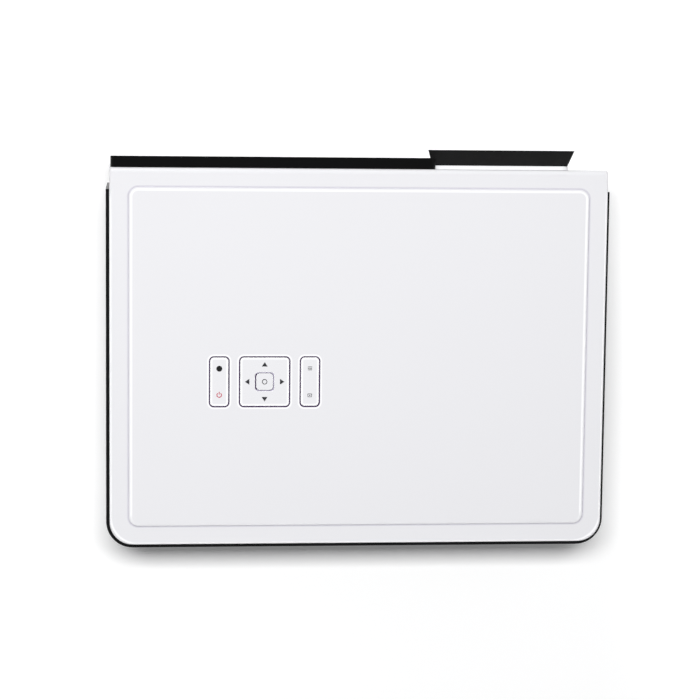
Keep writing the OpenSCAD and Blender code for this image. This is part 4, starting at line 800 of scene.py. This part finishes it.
# Louvred grilles: a frame and a row of upright slats on each side
grille_black = plastic("grille_black", (0.01, 0.01, 0.0105), 0.45, grain_size=0.4, grain_depth=0.12,
                       dust=0.01)
low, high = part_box("side_grilles")
frame_w, slat_w, slat_count = 2.5 * mm, 2 * mm, 23
grille_t, tucked_in = 2 * mm, 0.2 * mm
middle_y, middle_z = (low.y + high.y) / 2, (low.z + high.z) / 2
half_l, half_h = (high.y - low.y) / 2, (high.z - low.z) / 2
slat_step = 2 * (half_l - frame_w) / (slat_count + 1)
sides = [low.x + grille_t / 2, high.x - grille_t / 2]
slats = grown("side_slats", bar_row, [(x, middle_y, middle_z) for x in sides],
              Bar=(grille_t, slat_w, 2 * (half_h - frame_w + tucked_in)), Step=(0.0, slat_step, 0.0),
              Count=slat_count, Material=grille_black)
outer = [(-half_l, -half_h), (half_l, -half_h), (half_l, half_h), (-half_l, half_h)]
inner = [(y * (1 - frame_w / half_l), z * (1 - frame_w / half_h)) for y, z in outer]
on_its_side = Matrix(((0, 0, 1, 0), (1, 0, 0, middle_y), (0, 1, 0, middle_z), (0, 0, 0, 1)))
shape = bmesh.new()
for x in sides:
    add_slab(shape, outer, x - grille_t / 2, x + grille_t / 2, hole=inner, place=on_its_side)
grille_frames = built("grille_frames", shape, grille_black)
for piece in (slats, grille_frames):
    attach(piece, "case")
    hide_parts("side_grilles")


def circle_outline(x, y, radius, steps=40):
    """Circle about a point, anticlockwise, as a list of points."""
    angles = [2 * math.pi * i / steps for i in range(steps)]
    return [(x + radius * math.cos(a), y + radius * math.sin(a)) for a in angles]


# Fan guard: wire rings whose size grows with their number, on two crossed spokes, in a square plate
ring_guard, takes, gives = socket_group(
    "ring_guard",
    "GeometryNodeTree",
    [("Geometry", "Geometry", None), ("First", "Float", 0.0), ("Step", "Float", 0.0), ("Count", "Int", 3),
     ("Wire", "Float", 0.0), ("Thickness", "Float", 0.0), ("Material", "Material", None)],
    [("Geometry", "Geometry")],
)
one_metre = {"Resolution": 72, "Radius": 1.0}
unit = put(ring_guard, "GeometryNodeCurvePrimitiveCircle", one_metre).outputs["Curve"]
spots = put(ring_guard, "GeometryNodeMeshLine", {"Count": takes["Count"], "Offset": (0.0, 0.0, 0.0)})
number = put(ring_guard, "GeometryNodeInputIndex").outputs[0]
reach = value_of(ring_guard, "MULTIPLY_ADD", number, takes["Step"], takes["First"])
circles = repeated(ring_guard, spots.outputs["Mesh"], unit, Scale=reach)
circles = put(ring_guard, "GeometryNodeRealizeInstances", {"Geometry": circles}).outputs[0]
wire_size = {"Width": takes["Wire"], "Height": takes["Thickness"]}
section = put(ring_guard, "GeometryNodeCurvePrimitiveQuadrilateral", wire_size).outputs[0]
wires = put(ring_guard, "GeometryNodeCurveToMesh", {"Curve": circles, "Profile Curve": section}).outputs[0]
turned = {"Geometry": wires, "Rotation": (math.radians(90), 0.0, 0.0)}
upright = put(ring_guard, "GeometryNodeTransform", turned).outputs[0]
guards = repeated(ring_guard, takes["Geometry"], upright)
finish_tree(ring_guard, gives, guards, takes["Material"])

low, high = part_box("fan_grille")
middle = (low + high) / 2
guard_t, half, hole_r, spoke_w, hub_r = high.y - low.y, (high.x - low.x) / 2, 38 * mm, 2 * mm, 10 * mm
guard_rings = grown("fan_guard_rings", ring_guard, [middle], First=14 * mm, Step=8 * mm, Count=3,
                    Wire=1.6 * mm, Thickness=guard_t, Material=grille_black)
shape = bmesh.new()
hole = circle_outline(0, 0, hole_r, 72)
plate = [tuple(c * half / max(abs(x), abs(z)) for c in (x, z)) for x, z in circle_outline(0, 0, 1, 72)]
stood = Matrix.Translation((middle.x, 0, middle.z)) @ Matrix.Rotation(math.radians(90), 4, "X")
add_slab(shape, plate, -high.y, -low.y, hole=hole, place=stood)
reach, sunk = half - 1 * mm, 0.1 * mm
spoke = [(-reach, -spoke_w / 2), (reach, -spoke_w / 2), (reach, spoke_w / 2), (-reach, spoke_w / 2)]
for turn in (45, 135):
    turned = stood @ Matrix.Rotation(math.radians(turn), 4, "Z")
    add_slab(shape, spoke, -high.y + sunk, -low.y - sunk, place=turned)
add_slab(shape, circle_outline(0, 0, hub_r, 48), -high.y, -low.y, place=stood)
guard_plate = built("fan_guard_plate", shape, grille_black)
for piece in (guard_rings, guard_plate):
    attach(piece, "case")
    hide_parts("fan_grille")


# ---- Front frame, panel, collar and hood ----
# A white inner wall closes the leaning front. The black panel in front of it is moulded smooth and
# semi-gloss, the hood has a finer matt grain, and a white collar joins the hood to the wall.
dressed("front_frame", "case", case_white, 0.3 * mm)

panel_black = plastic("panel_black", (0.0035, 0.0036, 0.0037), 0.3, grain_size=0.8, grain_depth=0.04,
                      rubbed=0.12, dust=0.0, shine=0.2)
dressed("front_panel", "case", panel_black, 0.35 * mm, 3)

dressed("lens_collar", "case", case_white, 0.4 * mm)

hood_grey = plastic("hood_grey", (0.0075, 0.0075, 0.0077), 0.5, grain_size=0.35, grain_depth=0.2,
                    dust=0.01, shine=0.28)
dressed("lens_hood", "case", hood_grey, 0.35 * mm, 3)


# ---- Tray door, eject button and remote window ----
# The door is the tray's own front, moulded with the panel's skin. The button beside it opens the tray,
# and a dark red window lets the remote control's light through to its receiver.
dressed("tray_door", "tray", panel_black, 0.35 * mm, 3)
dressed("eject_button", "eject", hood_grey, 0.35 * mm, 3)
window_red, tree, shader = surface("window_red")
cloud = noise(tree, object_spot(tree), 80.0, 3.0)
feed(tree, shader, {
    "Base Color": mixed(tree, cloud, (0.05, 0.003, 0.006, 1), (0.09, 0.006, 0.01, 1)),
    "Roughness": ranged(tree, cloud, 0.0, 1.0, 0.08, 0.18),
    "Coat Weight": 0.6,
    "Coat Roughness": 0.03,
})
dressed("ir_window", "case", window_red, 0.2 * mm)


# ---- Keypad board, mat and ribbons ----
# Under the cover a narrow board carries one silicone mat, whose domes push the keys back up. A white
# carrier holds the centre key in the direction pad, and flat ribbons run to the main board.
dressed("keypad_board", "case", mask_green, 0.12 * mm)
mat_grey = rubber("mat_grey", (0.3, 0.3, 0.31), 0.08)
dressed("keymat", "case", mat_grey, 0.2 * mm)
dressed("pad_carrier", "pad_carrier", plug_ivory, 0.12 * mm)
# Ribbons: white film over parallel tinned wires
ribbon_film, tree, shader = surface("ribbon_film")
across = part_of(tree, object_spot(tree), "Y")
wave = value_of(tree, "SINE", value_of(tree, "MULTIPLY", across, wave_per_mm))
wire = ranged(tree, wave, -0.2, 0.2)
feed(tree, shader, {
    "Base Color": mixed(tree, wire, (0.74, 0.75, 0.76, 1), (0.5, 0.51, 0.53, 1)),
    "Roughness": 0.35,
    "Normal": bump(tree, wire, 0.4, 0.1 * mm),
})
dressed("ribbon_cables", "case", ribbon_film, 0.05 * mm, 1)


# ---- Keypad ----
# Three rocking caps and the centre key, moulded in gloss white and held by flanges under the cover.
# Their signs are printed, and a dark lip on the cover stands in the gap round each cap as painted shade.
# Left and right are those of a user who stands behind the projector.
# The caps' edges are rubbed pale, wear that here also paints a highlight on the rounded edges
key_white = plastic("key_white", (0.765, 0.763, 0.785), 0.2, grain_size=2.5, grain_depth=0.02, drift=0.03,
                    rubbed=1.0, dust=0.02, coat=0.4)
# Dark violet painted as shade in the gaps round the caps
gap_shade_violet = (0.04, 0.008, 0.075)
# White of the painted highlights on the caps and the cover
highlight_white = (0.97, 0.97, 0.98, 1)
# In millimetres: length of the caps, width of the side keys, corner radius and the gap round the caps,
# then the middle of the keypad and the step from one cap to the next
cap_l, side_w, cap_r, gap = 31.6, 11.7, 2.4, 0.7
keypad_x, keypad_y, pitch = 61.3, 20.02, 29.3


def distance_outside(tree, middle, width, length, radius):
    """How far a spot lies outside a round-cornered outline, in millimetres; less than nought inside it."""
    spot = object_spot(tree)
    spot = vector_of(tree, "MULTIPLY", spot, (1000.0, 1000.0, 0.0))
    away = vector_of(tree, "SUBTRACT", spot, (*middle, 0.0))
    away = vector_of(tree, "ABSOLUTE", away)
    straight = (width / 2 - radius, length / 2 - radius, 0.0)
    away = vector_of(tree, "SUBTRACT", away, straight)
    beyond = vector_of(tree, "MAXIMUM", away, (0.0, 0.0, 0.0))
    x, y = (part_of(tree, away, axis) for axis in "XY")
    within = value_of(tree, "MINIMUM", value_of(tree, "MAXIMUM", x, y), 0.0)
    away = value_of(tree, "ADD", length_of(tree, beyond), within)
    return value_of(tree, "SUBTRACT", away, radius)


def line(tree, away, middle, width):
    """A soft line at a distance from the outline, one in its middle and nought beyond its width."""
    off = value_of(tree, "SUBTRACT", away, middle)
    off = value_of(tree, "ABSOLUTE", off)
    return ranged(tree, off, 0.0, width, 1.0, 0.0)


key_places = ((keypad_x + pitch, side_w), (keypad_x, cap_l), (keypad_x - pitch, side_w))
key_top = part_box("ok_key")[1].z
# A painted highlight line just inside the edge of each cap
tree, shader = shader_of(key_white)
glint = 0.0
for x, width in key_places:
    rim_highlight = line(tree, distance_outside(tree, (x, keypad_y), width, cap_l, cap_r), -0.75, 0.9)
    glint = value_of(tree, "MAXIMUM", glint, rim_highlight)
glinted_caps = mixed(tree, glint, shader.inputs["Base Color"].links[0].from_socket, highlight_white)
# Below their tops the caps' sides are painted dark violet, as shade in the gap round them
height = part_of(tree, object_spot(tree), "Z")
side_shade = ranged(tree, height, key_top - 0.45 * mm, key_top - 0.6 * mm)
feed(tree, shader, {"Base Color": mixed(tree, side_shade, glinted_caps, (*gap_shade_violet, 1))})
print_drop = 0.05 * mm
print_black = plastic("print_black", (0.012, 0.012, 0.013), 0.5, rubbed=0.0)
print_grey = plastic("print_grey", (0.035, 0.035, 0.04), 0.5, rubbed=0.0)
print_red = plastic("print_red", (0.5, 0.03, 0.07), 0.5, rubbed=0.0)
# Paler white on the caps' rounded edges: a painted highlight
key_edge_highlight = plastic("key_edge_highlight", (0.96, 0.96, 0.97), 0.2, rubbed=0.0, coat=0.4)
for name, edge in (("power_key", 0.5), ("menu_key", 0.5), ("direction_pad", 0.5), ("ok_key", 0.35)):
    cap = eased(name, edge * mm, 3)
    for corner in cap.data.vertices:
        corner.co.z = min(corner.co.z, key_top - print_drop)
    cap.data.materials.append(key_white)
    cap.data.materials.append(key_edge_highlight)
    cap.modifiers["eased_edges"].material = 1 if name != "ok_key" else 0
    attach(cap, name)
    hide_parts(name)

pad_low, pad_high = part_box("direction_pad")
pad_x, pad_y = (pad_low.x + pad_high.x) / 2, (pad_low.y + pad_high.y) / 2
print_z = (key_top - print_drop - 0.01 * mm, key_top - print_drop + 0.02 * mm)


def round_outline(width, length, radius, steps=8):
    """Corner-rounded rectangle about the origin, anticlockwise, as a list of points."""
    points = []
    for turn, (sx, sy) in enumerate(((1, 1), (-1, 1), (-1, -1), (1, -1))):
        middle = (sx * (width / 2 - radius), sy * (length / 2 - radius))
        for step in range(steps + 1):
            angle = math.radians(90 * (turn + step / steps))
            points.append((middle[0] + radius * math.cos(angle), middle[1] + radius * math.sin(angle)))
    return points


def sign(name, body, material, strokes):
    """A printed sign: each stroke is an outline, or an outline and its hole."""
    shape = bmesh.new()
    for outline, hole in strokes:
        add_slab(shape, outline, *print_z, hole=hole)
    printed = built(name, shape, material)
    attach(printed, body)


def bar(x0, x1, y0, y1):
    """Upright rectangle, anticlockwise."""
    return [(x0, y0), (x1, y0), (x1, y1), (x0, y1)]


# Arrows of the direction pad
arrow_w, arrow_l, arrow_out = 3.8 * mm, 2.9 * mm, 9.9 * mm
for turn, name in enumerate(("arrow_left", "arrow_rear", "arrow_right", "arrow_front")):
    ahead = Vector((math.cos(turn * math.pi / 2), math.sin(turn * math.pi / 2)))
    across = Vector((-ahead.y, ahead.x))
    foot = Vector((pad_x, pad_y)) + ahead * arrow_out
    tip = foot + ahead * arrow_l
    corners = [tuple(foot - across * arrow_w / 2), tuple(tip), tuple(foot + across * arrow_w / 2)]
    sign(name, "direction_pad", print_grey, [(corners, None)])
# Standby sign and its lamp window on the left key
left_x = pad_x + pitch * mm
lamp_y, lamp_r = pad_y - 8.5 * mm, 1.9 * mm
sign("lamp_window", "power_key", print_black, [(circle_outline(left_x, lamp_y, lamp_r), None)])
standby_y, standby_r, standby_bore = pad_y + 8.6 * mm, 1.75 * mm, 1.2 * mm
stem_w, stem_start, stem_end = 0.54 * mm, 0.3 * mm, 2.1 * mm
gap_angle = math.radians(38)
arc = [-math.pi / 2 + gap_angle + (2 * math.pi - 2 * gap_angle) * i / 36 for i in range(37)]
ring = [(left_x + standby_r * math.cos(a), standby_y + standby_r * math.sin(a)) for a in arc]
arc.reverse()
ring += [(left_x + standby_bore * math.cos(a), standby_y + standby_bore * math.sin(a)) for a in arc]
stem = bar(left_x - stem_w / 2, left_x + stem_w / 2, standby_y - stem_end, standby_y - stem_start)
sign("standby_sign", "power_key", print_red, [(ring, None), (stem, None)])
# List sign and source sign on the right key, and the ring of the centre key
right_x = pad_x - pitch * mm
list_y, source_y = pad_y - 8.7 * mm, pad_y + 8.9 * mm
bar_l, bar_w, bar_pitch = 2.8 * mm, 0.44 * mm, 0.95 * mm
bars = []
for row in (-1, 0, 1):
    y = list_y + row * bar_pitch
    bars.append((bar(right_x - bar_l / 2, right_x + bar_l / 2, y - bar_w / 2, y + bar_w / 2), None))
sign("list_sign", "menu_key", print_grey, bars)
frame_l, frame_h, frame_line = 2.8 * mm, 2.3 * mm, 0.35 * mm
frame_out = round_outline(frame_l, frame_h, 0.3 * mm, 3)
frame_in = round_outline(frame_l - 2 * frame_line, frame_h - 2 * frame_line, 0.12 * mm, 3)
frame_out, frame_in = ([(right_x + x, source_y + y) for x, y in edge] for edge in (frame_out, frame_in))
dot = circle_outline(right_x, source_y, 0.4 * mm, 16)
sign("source_sign", "menu_key", print_grey, [(frame_out, frame_in), (dot, None)])
ring_out, ring_in = (circle_outline(pad_x, pad_y, r * mm) for r in (1.75, 1.25))
sign("centre_sign", "ok_key", print_grey, [(ring_out, ring_in)])

# Dark lips in the gaps round the caps, standing for the shade down in the gaps
# The dark lips are painted shade; the pale copy is the lit side of the centre key's gap
lip_shade = plastic("lip_shade", gap_shade_violet, 0.55, grain_size=0.3, rubbed=0.0, dust=0.02)
lip_lit = plastic("lip_lit", (0.42, 0.39, 0.5), 0.55, grain_size=0.3, rubbed=0.0, dust=0.05)
clearance, snug, ok_w = 0.2, 0.02, 11.0
lip_low, lip_high = key_top - 2.4 * mm, key_top - 0.55 * mm


def lip_outline(width, length, outside, radius):
    """The outline of a cap, drawn larger by a distance, in metres."""
    return round_outline((width + 2 * outside) * mm, (length + 2 * outside) * mm, radius * mm)


shape = bmesh.new()
for x, width in ((left_x, side_w), (pad_x, cap_l), (right_x, side_w)):
    place = Matrix.Translation((x, pad_y, 0))
    outer = lip_outline(width, cap_l, gap - snug / 2, cap_r + gap)
    inner = lip_outline(width, cap_l, clearance, cap_r + clearance)
    add_slab(shape, outer, lip_low, lip_high, inner, place)
gap_shade_lips = built("gap_shade_lips", shape, lip_shade)
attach(gap_shade_lips, "case")
shape = bmesh.new()
outer = lip_outline(ok_w, ok_w, gap - snug / 2, cap_r)
inner = lip_outline(ok_w, ok_w, clearance, cap_r)
add_slab(shape, outer, lip_low, lip_high, inner, Matrix.Translation((pad_x, pad_y, 0)))
centre_lip = built("centre_lip", shape, lip_lit)
# its left side is painted dark as the shaded side, and the rest pale as the lit side
paint(centre_lip, lip_shade, (pad_x / mm + 5.2, 0, 100), (pad_x / mm + 7.0, 40, 115))
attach(centre_lip, "direction_pad")


# ---- Top cover ----
# The lid with its raised middle field: gloss white plastic, nearly smooth, with four posts inside
# that take the case screws and three windows for the keys.
cover_gloss = plastic("cover_gloss", (0.755, 0.753, 0.775), 0.26, grain_size=3.0, grain_depth=0.03,
                      drift=0.03, rubbed=0.05, dust=0.03, coat=0.25)
tree, shader = shader_of(cover_gloss)
skin_colour = shader.inputs["Base Color"].links[0].from_socket

# A grey line in the step round the field is painted crease shade, and the rounded shoulders beside it get
# painted highlights:
# the inner one fades out toward the rear, away from the lamp, and the outer one toward the front.
# Each key window has a dark rim, painted shade in its gap, and a painted highlight line round it.
field_middle, field_w, field_l, field_r = (0.0, 4.62), 298.0, 220.0, 6.5
field = distance_outside(tree, field_middle, field_w, field_l, field_r)
along = part_of(tree, object_spot(tree), "Y")
highlight_fade_rear = ranged(tree, along, 112 * mm, 106 * mm)
highlight_fade_front = ranged(tree, along, -104 * mm, -96 * mm)
# inner and outer are the painted highlights on the shoulders inside and outside the step
inner = value_of(tree, "MULTIPLY", line(tree, field, -1.9, 1.0), highlight_fade_rear)
outer = value_of(tree, "MULTIPLY", line(tree, field, 11.3, 1.0), highlight_fade_front)
painted_highlights = value_of(tree, "ADD", inner, outer)
painted_gap_shade = 0.0
# Round each window: a painted highlight line, and a dark rim painted as shade in the gap
for x, width in key_places:
    window = distance_outside(tree, (x, keypad_y), width + 2 * gap, cap_l + 2 * gap, cap_r + gap)
    painted_highlights = value_of(tree, "ADD", painted_highlights, line(tree, window, 0.7, 0.8), clamp=True)
    painted_gap_shade = value_of(tree, "ADD", painted_gap_shade, line(tree, window, -0.05, 0.35), clamp=True)
# Painted crease shade in the step, under the painted highlights and the window shade
crease_shaded = mixed(tree, line(tree, field, 0.1, 0.95), skin_colour, (0.58, 0.565, 0.63, 1))
highlighted = mixed(tree, painted_highlights, crease_shaded, highlight_white)
feed(tree, shader, {"Base Color": mixed(tree, painted_gap_shade, highlighted, (0.06, 0.015, 0.1, 1))})
dressed("top_cover", "case", cover_gloss, 0.25 * mm)
